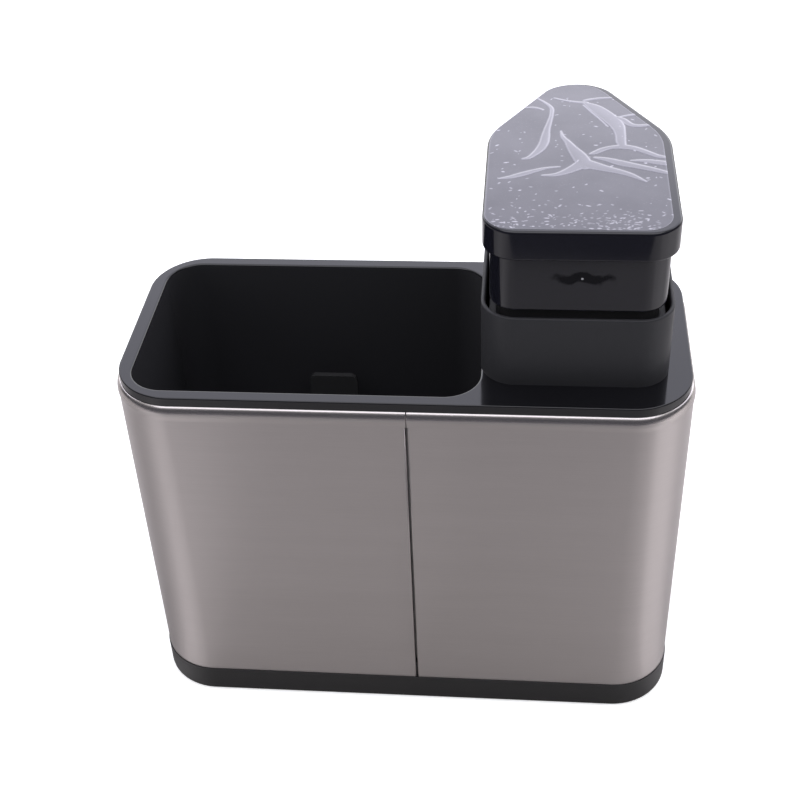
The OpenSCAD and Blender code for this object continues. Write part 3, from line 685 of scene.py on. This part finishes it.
    def world(self, scene):
        """A white room. Gloss mirrors it as dim, but for a bright backdrop behind the caddy up to a third of the way
        to the top, and a paler ceiling in front."""
        scene.world = bpy.data.worlds.new("studio")
        add, plain = fresh_nodes(scene.world), linear("#ffffff")
        path = add("LightPath")
        seen = self.seen(add, path)
        split = add("SeparateXYZ", add("TexCoord").outputs["Generated"])
        smooth = {"interpolation_type": "SMOOTHSTEP"}
        behind = add("MapRange", split.outputs["Y"], 0.25, 0.75, **smooth)
        low = add("MapRange", split.outputs["Z"], 0.32, 0.55, 1.0, 0.0, **smooth)
        above = add("MapRange", split.outputs["Z"], 0.3, 0.95, 0.0, 0.6, **smooth)
        backdrop = add("Math", behind, low, operation="MULTIPLY")
        front = add("Math", behind, -1.0, 1.0, operation="MULTIPLY_ADD")
        ceiling = add("Math", above, front, operation="MULTIPLY")
        pale = add("Math", backdrop, ceiling, operation="MAXIMUM")
        room = add("Mix", pale, linear(scene.caddy_colours.mirrored_room), plain, data_type="RGBA")
        grey = add("Background", room, add("MapRange", backdrop, to_min=1.0, to_max=1.5))
        lit = add("MixShader", seen, add("Background", plain, WORLD_LIGHT), add("Background", plain, 1.0))
        add("OutputWorld", surface=add("MixShader", path.outputs["Is Glossy Ray"], lit, grey))

    def lamp(self, name, at, target, size, watts, hex_colour, mirrored):
        """A soft rectangular lamp that faces a point."""
        light = bpy.data.lights.new(name, "AREA")
        light.shape, light.size, light.size_y, light.energy = "RECTANGLE", *size, watts
        light.color = linear(hex_colour)[:3]
        lamp = linked(name, light)
        lamp.location, lamp.rotation_mode = at, "QUATERNION"
        lamp.rotation_quaternion = (Vector(target) - Vector(at)).to_track_quat("-Z", "Y")
        lamp.visible_glossy = mirrored


class CADDY_OT_sleeve(bpy.types.Operator):
    """Makes the brushed steel sleeve with its rolled edge and its seam"""
    bl_idname = "caddy.sleeve"
    bl_label = "Steel sleeve"

    def execute(self, context):
        """The sheet is a grid: columns run round the body from one side of the seam to the other, and rows run up the
        wall, over the roll and down the fold. Below the fold the end columns turn in as flanges, and above it they
        run on to the narrow slit. So the faces between those two rows are left out, and the rows share the points of
        all columns but the end ones."""
        s = chosen("body")
        half_x, half_y = (SLEEVE_HIGH - SLEEVE_LOW)[:2] / 2
        crest, foot = SLEEVE_HIGH[2], SLEEVE_LOW[2]
        hem, rise, flare, bend = s.hem_t * MM, s.hem_h * MM, s.flare * MM, 0.6 * MM
        fold, roll, corner = crest - s.fold_h * MM, (hem + flare) / 2, s.corner_r * MM
        steps = 32
        centre, _, normal = rounded(2 * half_x, 2 * half_y, corner, steps=steps)
        # The columns start at the fourth corner, to the right of the seam
        centre, normal = (np.roll(part, -3 * (steps + 1), axis=0) for part in (centre, normal))
        wall = profile((0, foot), (0, foot + 0.3 * MM), (0, (foot + fold) / 2), (0, fold))
        swell = np.linspace(0, 1, 10)
        widening = np.stack([(1 - np.cos(math.pi * swell)) / 2 * flare, fold + (crest - rise - fold) * swell], -1)
        section = profile(wall, widening, arc(flare - roll, crest - rise, roll, 0, 180, 36, rise)[1:], (-hem, fold))
        rows, joint = len(section), len(wall)
        seam, wide, slit = s.seam_x * MM, s.seam_w * MM / 2, s.seam_top_w * MM / 2
        side = wide + bend
        centre = np.array([(seam + side, corner - half_y), *centre, (seam - side, corner - half_y)])
        normal = np.array([(0, -1), *normal, (0, -1)])
        xy = centre + (corner + section[:, :1, None]) * normal
        turn = np.linspace(0, math.pi / 2, 6)[1:]
        bend_x = np.append(bend * (1 - np.sin(turn)), 0)
        bend_y = np.append(bend * (1 - np.cos(turn)), bend + s.flange_d * MM)
        ends = []
        for sign in (1, -1):
            end = np.empty((rows, len(bend_x), 2))
            end[:joint] = np.stack([seam + sign * (wide + bend_x), bend_y - half_y], -1)
            end[joint:, :, 0] = seam + sign * np.linspace(side, slit, len(bend_x) + 1)[1:]
            end[joint:, :, 1] = -half_y - section[joint:, :1]
            ends.append(end)
        xy = np.concatenate([ends[0][:, ::-1], xy, ends[1]], 1)
        columns = xy.shape[1]
        verts = np.dstack([xy, np.repeat(section[:, 1:], columns, 1)]).reshape(-1, 3)
        faces = grid(rows, columns)
        row, column = np.divmod(faces, columns)
        shared = (row == joint) & (column >= len(bend_x)) & (column < columns - len(bend_x))
        used, faces = np.unique((faces - columns * shared)[row[:, 0] != joint - 1], return_inverse=True)
        mesh = plain_mesh("steel_sleeve_sheet", verts[used], faces.reshape(-1, 4).tolist())
        # The sheet's own coordinates are metres along it and up it
        along, up = (np.append(0, np.cumsum(np.linalg.norm(np.diff(p, axis=0), axis=1))) for p in (xy[0], section))
        uv = np.stack(np.meshgrid(along, up), -1).reshape(-1, 2)[used][faces.ravel()]
        mesh.uv_layers.new(name="sheet").data.foreach_set("uv", uv.astype(np.float32).ravel())
        rolled = np.clip((section[:, 1] - crest + rise) / (0.35 * rise), 0, 1)
        mark(mesh, "rolled", "POINT", np.repeat(rolled, columns)[used])
        obj = place("steel_sleeve_sheet", mesh, "brushed_stainless_steel", "base", "sleeve_steel", "steel_sleeve")
        sheet = obj.modifiers.new("sheet", "SOLIDIFY")
        sheet.thickness, sheet.offset, sheet.use_even_offset = s.sheet_t * MM, -1.0, False
        return {"FINISHED"}


class CADDY_OT_base(bpy.types.Operator):
    """Makes the moulded base"""
    bl_idname = "caddy.base"
    bl_label = "Base"

    def execute(self, context):
        s = chosen("body")
        foot, ledge = BASE_LOW[2], SLEEVE_LOW[2]
        outline = rounded(*(BASE_HIGH - BASE_LOW)[:2], (s.corner_r + s.base_proud) * MM)
        edge, lip, rib_top, floor = s.base_edge_r * MM, 0.12 * MM, ledge + s.rib_h * MM, foot + s.floor_t * MM
        rib_out = -(s.base_proud + 0.75) * MM
        rib_in = rib_out - s.rib_t * MM
        play, groove_top = 0.15, s.ring_t * MM
        groove_out, groove_in = -(s.ring_in - play) * MM, -(s.ring_in + s.ring_w + play) * MM
        section = profile((groove_in - STRIP, foot), (groove_in, foot), (groove_in, groove_top),
                          (groove_out, groove_top), (groove_out, foot), (-edge - STRIP, foot),
                          arc(-edge, foot + edge, edge, -90, 0), (0, ledge - lip - STRIP),
                          arc(-lip, ledge - lip, lip, 0, 90, 3), (-lip - STRIP, ledge), (rib_out, ledge),
                          (rib_out, rib_top), (rib_in, rib_top), (rib_in, floor), (rib_in - STRIP, floor))
        place("moulded_base", mesh_of("moulded_base", solid(outline, section)), "moulded_pp_base", "base",
              "base_plastic", "base_tray")
        return {"FINISHED"}


class CADDY_OT_liner(bpy.types.Operator):
    """Makes the liner: rim, deck, well, collar and socket"""
    bl_idname = "caddy.liner"
    bl_label = "Liner"

    def execute(self, context):
        """The rim's and the well's profiles are carried round their outlines and meet the flat deck, and the collar
        with its socket is a closed solid that is joined to them."""
        s, b = chosen("liner"), chosen("body")
        half_x, half_y = (SLEEVE_HIGH - SLEEVE_LOW)[:2] / 2
        crest, wall, inset = SLEEVE_HIGH[2], s.wall_t * MM, s.rim_inset * MM
        deck = crest + s.rim_h * MM
        under, floor = deck - s.deck_t * MM, deck - s.well_h * MM
        rim = rounded(2 * (half_x - inset), 2 * (half_y - inset), (b.corner_r - s.rim_inset) * MM)
        left, right = s.well_end * MM - half_x, TANK_X - s.collar_w * MM / 2
        well = rounded(right - left, 2 * (half_y - s.well_side * MM), s.well_r * MM, (left + right) / 2)
        edge, lip, brim = s.rim_edge_r * MM, (s.lip_in - s.rim_inset) * MM, s.well_edge_r * MM
        lip_foot, seat, fillet = crest - s.lip_h * MM, crest + 0.1 * MM, 1.5 * MM
        outer = profile((-lip - wall, under), (-lip - wall, lip_foot), (-lip, lip_foot), (-lip, seat), (0, seat),
                        (0, deck - edge - STRIP), arc(-edge, deck - edge, edge, 0, 90), (-edge - STRIP, deck))
        pit = profile((brim + STRIP, deck), arc(brim, deck - brim, brim, 90, 180), (0, deck - brim - STRIP),
                      (0, floor + fillet), arc(-fillet, floor + fillet, fillet, 0, -90), (-fillet - STRIP, floor))
        pit_out = profile((wall, under), (wall, floor + wall), arc(0, floor, wall, 0, -90), (-STRIP, floor - wall))
        top = mesh_of("liner_top", [
            sweep(rim, outer), sweep(well, pit), sweep(well, pit_out),
            region(deck, loop(rim, outer[-1][0]), loop(well, brim + STRIP)),
            region(under, loop(rim, -lip - wall), loop(well, wall)),
            region(floor, loop(well, pit[-1][0])), region(floor - wall, loop(well, -STRIP))])
        r, brink, socket = s.collar_edge_r * MM, LINER_TOP, s.socket_z * MM
        collar = rounded(s.collar_w * MM, s.collar_d * MM, s.collar_r * MM, TANK_X)
        tube = profile((-wall - STRIP, socket - wall), (-wall, socket - wall), arc(-wall, socket, wall, -90, 0),
                       (0, brink - r - STRIP), arc(-r, brink - r, r, 0, 90), (-r - STRIP, brink),
                       (-wall + r + STRIP, brink), arc(-wall + r, brink - r, r, 90, 180), (-wall, brink - r - STRIP),
                       (-wall, socket + 0.01 * MM), (-wall - STRIP, socket))
        mesh = joined("moulded_liner", "UNION", top, mesh_of("liner_socket", solid(collar, tube)))
        self.mark_walls(mesh, loop(rim, -0.3 * MM), deck + 1.5 * MM)
        place("moulded_liner", mesh, "moulded_abs_liner", "liner", "liner_plastic", "top_liner")
        return {"FINISHED"}

    def mark_walls(self, mesh, rim, collar_foot):
        """Marks the faces whose mould is textured and which get the painted reflection: 1 on the upright ones inside
        the rim and on all of the collar.
        """
        normal, centre = np.empty((2, len(mesh.polygons), 3), np.float32)
        mesh.polygons.foreach_get("normal", normal.ravel())
        mesh.polygons.foreach_get("center", centre.ravel())
        walls = (np.abs(normal[:, 2]) < 0.3) & inside(centre[:, :2].astype(float), rim)
        mark(mesh, "satin", "FACE", walls | (centre[:, 2] > collar_foot))


class CADDY_OT_lid(bpy.types.Operator):
    """Makes the lid under the press head"""
    bl_idname = "caddy.lid"
    bl_label = "Pump lid"

    def execute(self, context):
        s = chosen("pump")
        t, r, foot, top = s.lid_t * MM, 0.45 * MM, LID_LOW[2] - s.lid_foot * MM, LID_HIGH[2]
        under, over = LID_LOW[2] + s.plate_z * MM, LID_LOW[2] + (s.plate_z + s.plate_t) * MM
        outline = rounded(*(LID_HIGH - LID_LOW)[:2], s.lid_r * MM, TANK_X)
        section = profile((-t, under), (-t, foot + r + STRIP), arc(-t + r, foot + r, r, 180, 270),
                          arc(-r, foot + r, r, -90, 0), (0, foot + r + STRIP), (0, top - r - STRIP),
                          arc(-r, top - r, r, 0, 90), arc(-t + r, top - r, r, 90, 180), (-t, top - r - STRIP),
                          (-t, over))
        hole = ring(TANK_X, 0, 10.55 * MM)
        parts = [sweep(outline, section), *(region(z, loop(outline, -t), loop(hole)) for z in (under, over)),
                 sweep(hole, profile((0, under), (0, over)))]
        # The notch lets the feed tube out over the lid's front wall
        notch_w, notch_h, clear = 6.4 * MM, 5.4 * MM, 6 * MM
        cutter = rounded(notch_w, 8 * MM, 0.3 * MM, TANK_X, LID_HIGH[1] - t / 2, steps=2)
        notch = mesh_of("notch", solid(cutter, profile((0, top - notch_h), (0, top + clear))))
        mesh = joined("gloss_lid", "DIFFERENCE", mesh_of("lid", parts), notch)
        place("gloss_lid", mesh, "wiped_abs_gloss", "pump", "lid_plastic", "pump_lid")
        return {"FINISHED"}


def head_circles():
    """Circles that the head's outline is stretched round, in the row frame."""
    s = chosen("pump")
    half, back, nose = (HEAD_HIGH[0] - HEAD_LOW[0]) / 2, HEAD_LOW[1], HEAD_HIGH[1]
    r, spacing, tip = s.head_r * MM, s.shoulder_x * MM, s.nose_r * MM
    right = [(half - r, back + r, r), (spacing, s.shoulder_y * MM, half - spacing)]
    left = [(-x, y, c) for x, y, c in reversed(right)]
    return [(TANK_X + x, y, c) for x, y, c in (*right, (0.0, nose - tip, tip), *left)]


class CADDY_OT_head(bpy.types.Operator):
    """Makes the press head"""
    bl_idname = "caddy.head"
    bl_label = "Press head"

    def execute(self, context):
        s = chosen("pump")
        top, t, r, foot_r = HEAD_HIGH[2], s.head_t * MM, s.head_edge_r * MM, s.head_foot_r * MM
        low, roof = top - s.head_h * MM, top - t
        section = profile((-t - STRIP, roof), (-t, roof), (-t, low + foot_r + STRIP),
                          arc(-t + foot_r, low + foot_r, foot_r, 180, 270),
                          arc(-foot_r, low + foot_r, foot_r, -90, 0), (0, low + foot_r + STRIP),
                          (0, top - r - STRIP), arc(-r, top - r, r, 0, 90), (-r - STRIP, top))
        boss_r, boss_t, boss_top = 5.9 * MM, 2.34 * MM, roof + 0.5 * MM
        boss = shell(ring(TANK_X, 0, boss_r), profile((-boss_t, HEAD_LOW[2]), (0, HEAD_LOW[2]), (0, boss_top),
                                                      (-boss_t, boss_top)))
        mesh = joined("gloss_head", "UNION", mesh_of("head", solid(hull(head_circles()), section)),
                      mesh_of("boss", boss))
        place("gloss_head", mesh, "moulded_abs_gloss", "head", "head_plastic", "press_head")
        return {"FINISHED"}


class CADDY_OT_film(bpy.types.Operator):
    """Makes the creased protective film"""
    bl_idname = "caddy.film"
    bl_label = "Protective film"

    def execute(self, context):
        """The film is a grid that fills the head's outline less a border: rows from back to nose, closer together at
        both ends, and columns from side to side. Its height is that of its creases."""
        s = chosen("pump")
        shift, columns, rows = s.film_shift * MM, 200, 340
        edge = loop(hull(head_circles(), 60), -s.film_in * MM)
        low, high = HEAD_LOW[1] + s.film_back * MM, HEAD_HIGH[1] - s.film_nose * MM
        edge[:, 1] = np.interp(edge[:, 1], [edge[:, 1].min(), edge[:, 1].max()], [low, high])
        share = (1 - np.cos(np.linspace(0, math.pi, rows))) / 2
        y = low + (high - low) * (0.3 * share + 0.7 * np.linspace(0, 1, rows))
        side = edge[edge[:, 0] > TANK_X]
        side = side[np.argsort(side[:, 1])]
        reach = np.interp(y, side[:, 1], side[:, 0]) - TANK_X
        x = TANK_X - shift + reach[:, None] * np.linspace(-1, 1, columns)
        y = np.broadcast_to(y[:, None], (rows, columns))
        across, ahead = (x - TANK_X) / (high - low), (y - low) / (high - low)
        height, lift = self.creases(across, ahead)
        dots = self.specks(across, ahead)
        # Painted highlight: a thin pale line along the film's edge, added to the creases' paleness
        rim = np.clip(1 - np.minimum(reach[:, None] - abs(x - TANK_X + shift), high - y) / (0.45 * MM), 0, 1)
        z = np.minimum(HEAD_HIGH[2] + 0.04 * MM + height * s.crease_h * MM, FILM_TOP)
        mesh = plain_mesh("film", np.stack([x, y, z], -1).reshape(-1, 3), grid(rows, columns).tolist())
        mark(mesh, "lift", "POINT", np.maximum(dots, lift) + 0.3 * rim)
        place("creased_film", mesh, "polythene_film", "head", "clear_film", "protective_film")
        return {"FINISHED"}

    # Paths (x, y, half width) in thousandths of the film's length
    CREASES = (
        ((-143, 891, 2), (-114, 854, 5), (-93, 814, 7), (-92, 768, 7), (-98, 718, 8), (-108, 652, 11),
         (-113, 598, 15), (-118, 555, 16), (-130, 513, 15), (-149, 477, 11), (-168, 451, 8), (-187, 443, 4)),
        ((-181, 816, 3), (-158, 817, 6), (-137, 810, 5), (-121, 799, 3)),
        ((-83, 892, 3), (-49, 875, 4), (-8, 861, 6), (28, 855, 9)),
        ((21, 873, 5), (49, 884, 7), (86, 893, 6), (127, 897, 5)),
        ((28, 849, 10), (58, 815, 24), (87, 770, 28), (111, 726, 28), (129, 682, 25), (137, 622, 18), (137, 569, 17),
         (141, 533, 13)),
        ((17, 838, 2), (42, 787, 3), (71, 731, 3), (97, 676, 2)),
        ((132, 743, 9), (151, 726, 12), (172, 693, 12), (199, 683, 9), (239, 689, 7), (253, 672, 3)),
        ((137, 748, 3), (168, 760, 5), (203, 766, 6), (222, 738, 2)),
        ((141, 533, 14), (104, 527, 10), (74, 511, 11), (50, 490, 10), (33, 480, 4)),
        ((141, 533, 16), (177, 523, 13), (214, 498, 12), (251, 470, 10), (288, 458, 6)),
        ((163, 438, 3), (206, 437, 9), (244, 428, 14), (286, 418, 14)),
        ((-61, 641, 3), (-55, 599, 7), (-39, 562, 11), (-23, 515, 18), (-4, 469, 25), (10, 424, 26), (14, 394, 18)),
        ((10, 414, 26), (-15, 388, 20), (-48, 358, 14), (-82, 338, 9), (-122, 334, 4)),
        ((14, 414, 30), (47, 399, 24), (85, 380, 18), (127, 361, 14), (163, 338, 11), (206, 300, 3)),
        ((49, 455, 6), (87, 443, 12), (129, 421, 17), (176, 402, 15), (222, 383, 13), (263, 364, 10), (288, 354, 6)),
        ((-261, 310, 3), (-224, 321, 9), (-186, 341, 12), (-148, 363, 10), (-110, 382, 6), (-67, 392, 3)),
    )

    def creases(self, x, y):
        """Height and paleness of the film over its creases. A crease follows a smooth path through its points, each
        with a half width w, and d is the distance from that path. The film stands up by w times the root of 1 - (d /
        w)². It is pale inside, where it lifts, and a painted highlight makes it palest in a thin line along d = w, more
        so on its far right side, where painted light falls. A thin painted shade lies beyond that on its near side."""
        reach = 0.06
        height, across, right, ahead = np.zeros((4, *x.shape))
        gap = np.ones(x.shape)
        for points in self.CREASES:
            p = smooth_path(np.array(points) / 1000)
            for a, b in zip(p[:-1], p[1:]):
                step = b[:2] - a[:2]
                near = (abs(x - a[0]) < reach) & (abs(y - a[1]) < reach)
                u, v = x[near] - a[0], y[near] - a[1]
                t = np.clip((u * step[0] + v * step[1]) / (step @ step), 0, 1)
                w = a[2] + t * (b[2] - a[2])
                u, v = u - t * step[0], v - t * step[1]
                off = np.hypot(u, v) + 1e-9
                height[near] = np.maximum(height[near], np.sqrt(np.clip(1 - (off / w) ** 2, 0, 1)) * w * 40)
                closer = off - w < gap[near]
                for field, value in (gap, off - w), (across, off / w), (right, u / off), (ahead, v / off):
                    field[near] = np.where(closer, value, field[near])
        # Painted light: the crease is paler on its far right side, and a painted highlight runs along its edge
        lit = (0.8 * right + 0.6 * ahead) * np.clip(across, 0, 1)
        lift = (0.3 + 0.08 * lit) * np.clip(0.5 - gap / 0.004, 0, 1)
        lift += (0.36 + 0.1 * lit) * np.exp(-((gap + 0.002) / 0.003) ** 2)
        # Painted shade: a thin dark line beyond the crease on its near side
        painted_shade_hollow = np.clip(0.3 - ahead, 0, 1) * np.exp(-((gap - 0.007) / 0.004) ** 2)
        return height, np.where(lift > 0.08, lift, -painted_shade_hollow)

    def specks(self, x, y):
        """Paleness of the small bubbles under the film. They are ellipses at random places, closer together along
        the back edge and near its right corner, and each fades out over the last third of its width."""
        rng = np.random.default_rng(11)
        count = 330
        place_x, place_y = rng.uniform(-0.29, 0.29, count), rng.uniform(0.0, 0.9, count)
        back, corner = slice(0, 130), slice(130, 180)
        place_y[back] = np.abs(rng.normal(0.0, 0.06, 130)) + 0.004
        place_x[corner], place_y[corner] = rng.normal(0.13, 0.04, 50), np.abs(rng.normal(0.04, 0.03, 50))
        size = rng.uniform(0.0016, 0.0038, count)
        angle, squash, tone = rng.normal(0, 0.7, count), rng.uniform(1.2, 3.2, count), rng.uniform(0.25, 1.0, count)
        lift = np.zeros(x.shape)
        for cx, cy, r, a, q, c in zip(place_x, place_y, size, angle, squash, tone):
            near = (abs(x - cx) < 3 * r) & (abs(y - cy) < 3 * r)
            u, v = x[near] - cx, y[near] - cy
            far = np.hypot((u * math.cos(a) + v * math.sin(a)) / q, v * math.cos(a) - u * math.sin(a)) / r
            lift[near] = np.maximum(lift[near], c * np.clip((1.0 - far) * 3, 0, 1))
        return lift


class CADDY_OT_rounding(bpy.types.Operator):
    """Rounds the edges of the rack, the tank, the nozzle and the nose cover"""
    bl_idname = "caddy.rounding"
    bl_label = "Rounded parts"

    def execute(self, context):
        s = chosen("pump")
        self.round_off("moulded_rack", "drain_rack", "moulded_pp_rack", "rack", "rack_plastic", s.rack_edge, s.tab_rise)
        self.round_off("blown_tank", "soap_tank", "blown_pe_tank", "tank", "tank_plastic", s.tank_edge)
        self.round_off("gloss_nozzle", "spout_nozzle", "moulded_abs_gloss", "head", "head_plastic", s.nozzle_edge)
        self.round_off("gloss_nose_cover", "nose_cover", "moulded_abs_gloss", "head", "head_plastic", s.nozzle_edge)
        return {"FINISHED"}

    def round_off(self, name, node, look, body, slot, edge, rise=0.0):
        """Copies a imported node, merges its triangles into flat faces and bevels its edges. The bevel grows inwards
        from both faces, so the copy stays inside the node. Its top 3.5 mm can be moved up."""
        bm = bmesh.new()
        bm.from_mesh(NODES[node].data)
        bmesh.ops.remove_doubles(bm, verts=bm.verts, dist=1e-6)
        bmesh.ops.dissolve_limit(bm, angle_limit=math.radians(0.5), verts=bm.verts, edges=bm.edges)
        bmesh.ops.recalc_face_normals(bm, faces=bm.faces)
        mesh = bpy.data.meshes.new(name)
        bm.to_mesh(mesh)
        bm.free()
        if not mesh.polygons:
            raise RuntimeError(node + " has no faces to round")
        at = np.empty(3 * len(mesh.vertices), np.float32)
        mesh.vertices.foreach_get("co", at)
        heights = at[2::3]
        heights[heights > heights.max() - 3.5 * MM] += rise * MM
        mesh.vertices.foreach_set("co", at)
        bevel = place(name, mesh, look, body, slot, node).modifiers.new("edges", "BEVEL")
        bevel.width, bevel.segments, bevel.harden_normals = edge * MM, 3, True
        bevel.limit_method, bevel.angle_limit = "ANGLE", math.radians(40)


class CADDY_OT_spring(bpy.types.Operator):
    """Makes the return spring"""
    bl_idname = "caddy.spring"
    bl_label = "Return spring"

    def execute(self, context):
        """The wire's line is a helix, x = r cos a and y = r sin a with z in proportion to a, and the wire is a circle
        carried along it."""
        s = chosen("pump")
        wire, sides = s.wire_d * MM / 2, 12
        r = (SPRING_HIGH[0] - SPRING_LOW[0]) / 2 - wire
        middle = (SPRING_HIGH[2] + SPRING_LOW[2]) / 2
        reach = (SPRING_HIGH[2] - SPRING_LOW[2]) / 2 - wire * math.sin(math.pi / 3)
        turn = np.linspace(0, 2 * math.pi * s.coils, round(32 * s.coils) + 1)[:, None]
        round_wire = np.arange(sides)[None] * (2 * math.pi / sides)
        out = r + wire * np.cos(round_wire)
        height = middle + reach * (2 * turn / turn[-1] - 1) + wire * np.sin(round_wire)
        verts = np.stack([TANK_X + out * np.cos(turn), out * np.sin(turn), height], -1)
        cap = np.arange(sides)[None]
        mesh = mesh_of("wound_spring", [(verts.reshape(-1, 3), grid(len(turn), sides, closed=True)), (verts[0], cap),
                                        (verts[-1], cap)])
        spring = place("wound_spring", mesh, "spring_wire", "pump", "spring_steel", "return_spring")
        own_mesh(spring)
        return {"FINISHED"}


class CADDY_OT_nodes(bpy.types.Operator):
    """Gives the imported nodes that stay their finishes"""
    bl_idname = "caddy.nodes"
    bl_label = "Finishes of the other parts"

    FINISHES = {
        "moulded_rubber": ("rubber_ring",), "spring_steel_strip": ("seam_clip",), "silicone_rubber": ("lid_seal",),
        "moulded_pp_pump": ("pump_cylinder", "cylinder_cap", "ball_cage", "piston_seal", "piston_stem"),
        "stainless_ball": ("inlet_ball", "outlet_ball"), "extruded_pe_tube": ("feed_tube", "dip_tube"),
    }

    def execute(self, context):
        for name, nodes in self.FINISHES.items():
            for node in nodes:
                NODES[node].material_slots[0].material = finish(name)
        return {"FINISHED"}


class CADDY_PT_panel(bpy.types.Panel):
    """Lists the caddy's pieces"""
    bl_label = "Caddy"
    bl_idname = "CADDY_PT_panel"
    bl_space_type = "VIEW_3D"
    bl_region_type = "UI"
    bl_category = "Caddy"

    def draw(self, context):
        for operator in OPERATORS:
            self.layout.operator(operator.bl_idname)


GROUPS = {"caddy_body": CaddyBodySizes, "caddy_liner": CaddyLinerSizes, "caddy_pump": CaddyPumpSizes,
          "caddy_colours": CaddyColours, "caddy_stage": CaddyStage}
OPERATORS = (CADDY_OT_stage, CADDY_OT_sleeve, CADDY_OT_base, CADDY_OT_liner, CADDY_OT_lid, CADDY_OT_head,
             CADDY_OT_film, CADDY_OT_rounding, CADDY_OT_spring, CADDY_OT_nodes)


def register():
    for cls in (*GROUPS.values(), *OPERATORS, CADDY_PT_panel):
        bpy.utils.register_class(cls)
    for name, group in GROUPS.items():
        setattr(bpy.types.Scene, name, PointerProperty(type=group))


def unregister():
    for name in GROUPS:
        delattr(bpy.types.Scene, name)
    for cls in reversed((*GROUPS.values(), *OPERATORS, CADDY_PT_panel)):
        bpy.utils.unregister_class(cls)


def main():
    register()
    for operator in OPERATORS:
        group, name = operator.bl_idname.split(".")
        getattr(getattr(bpy.ops, group), name)()


if __name__ == "__main__":
    main()
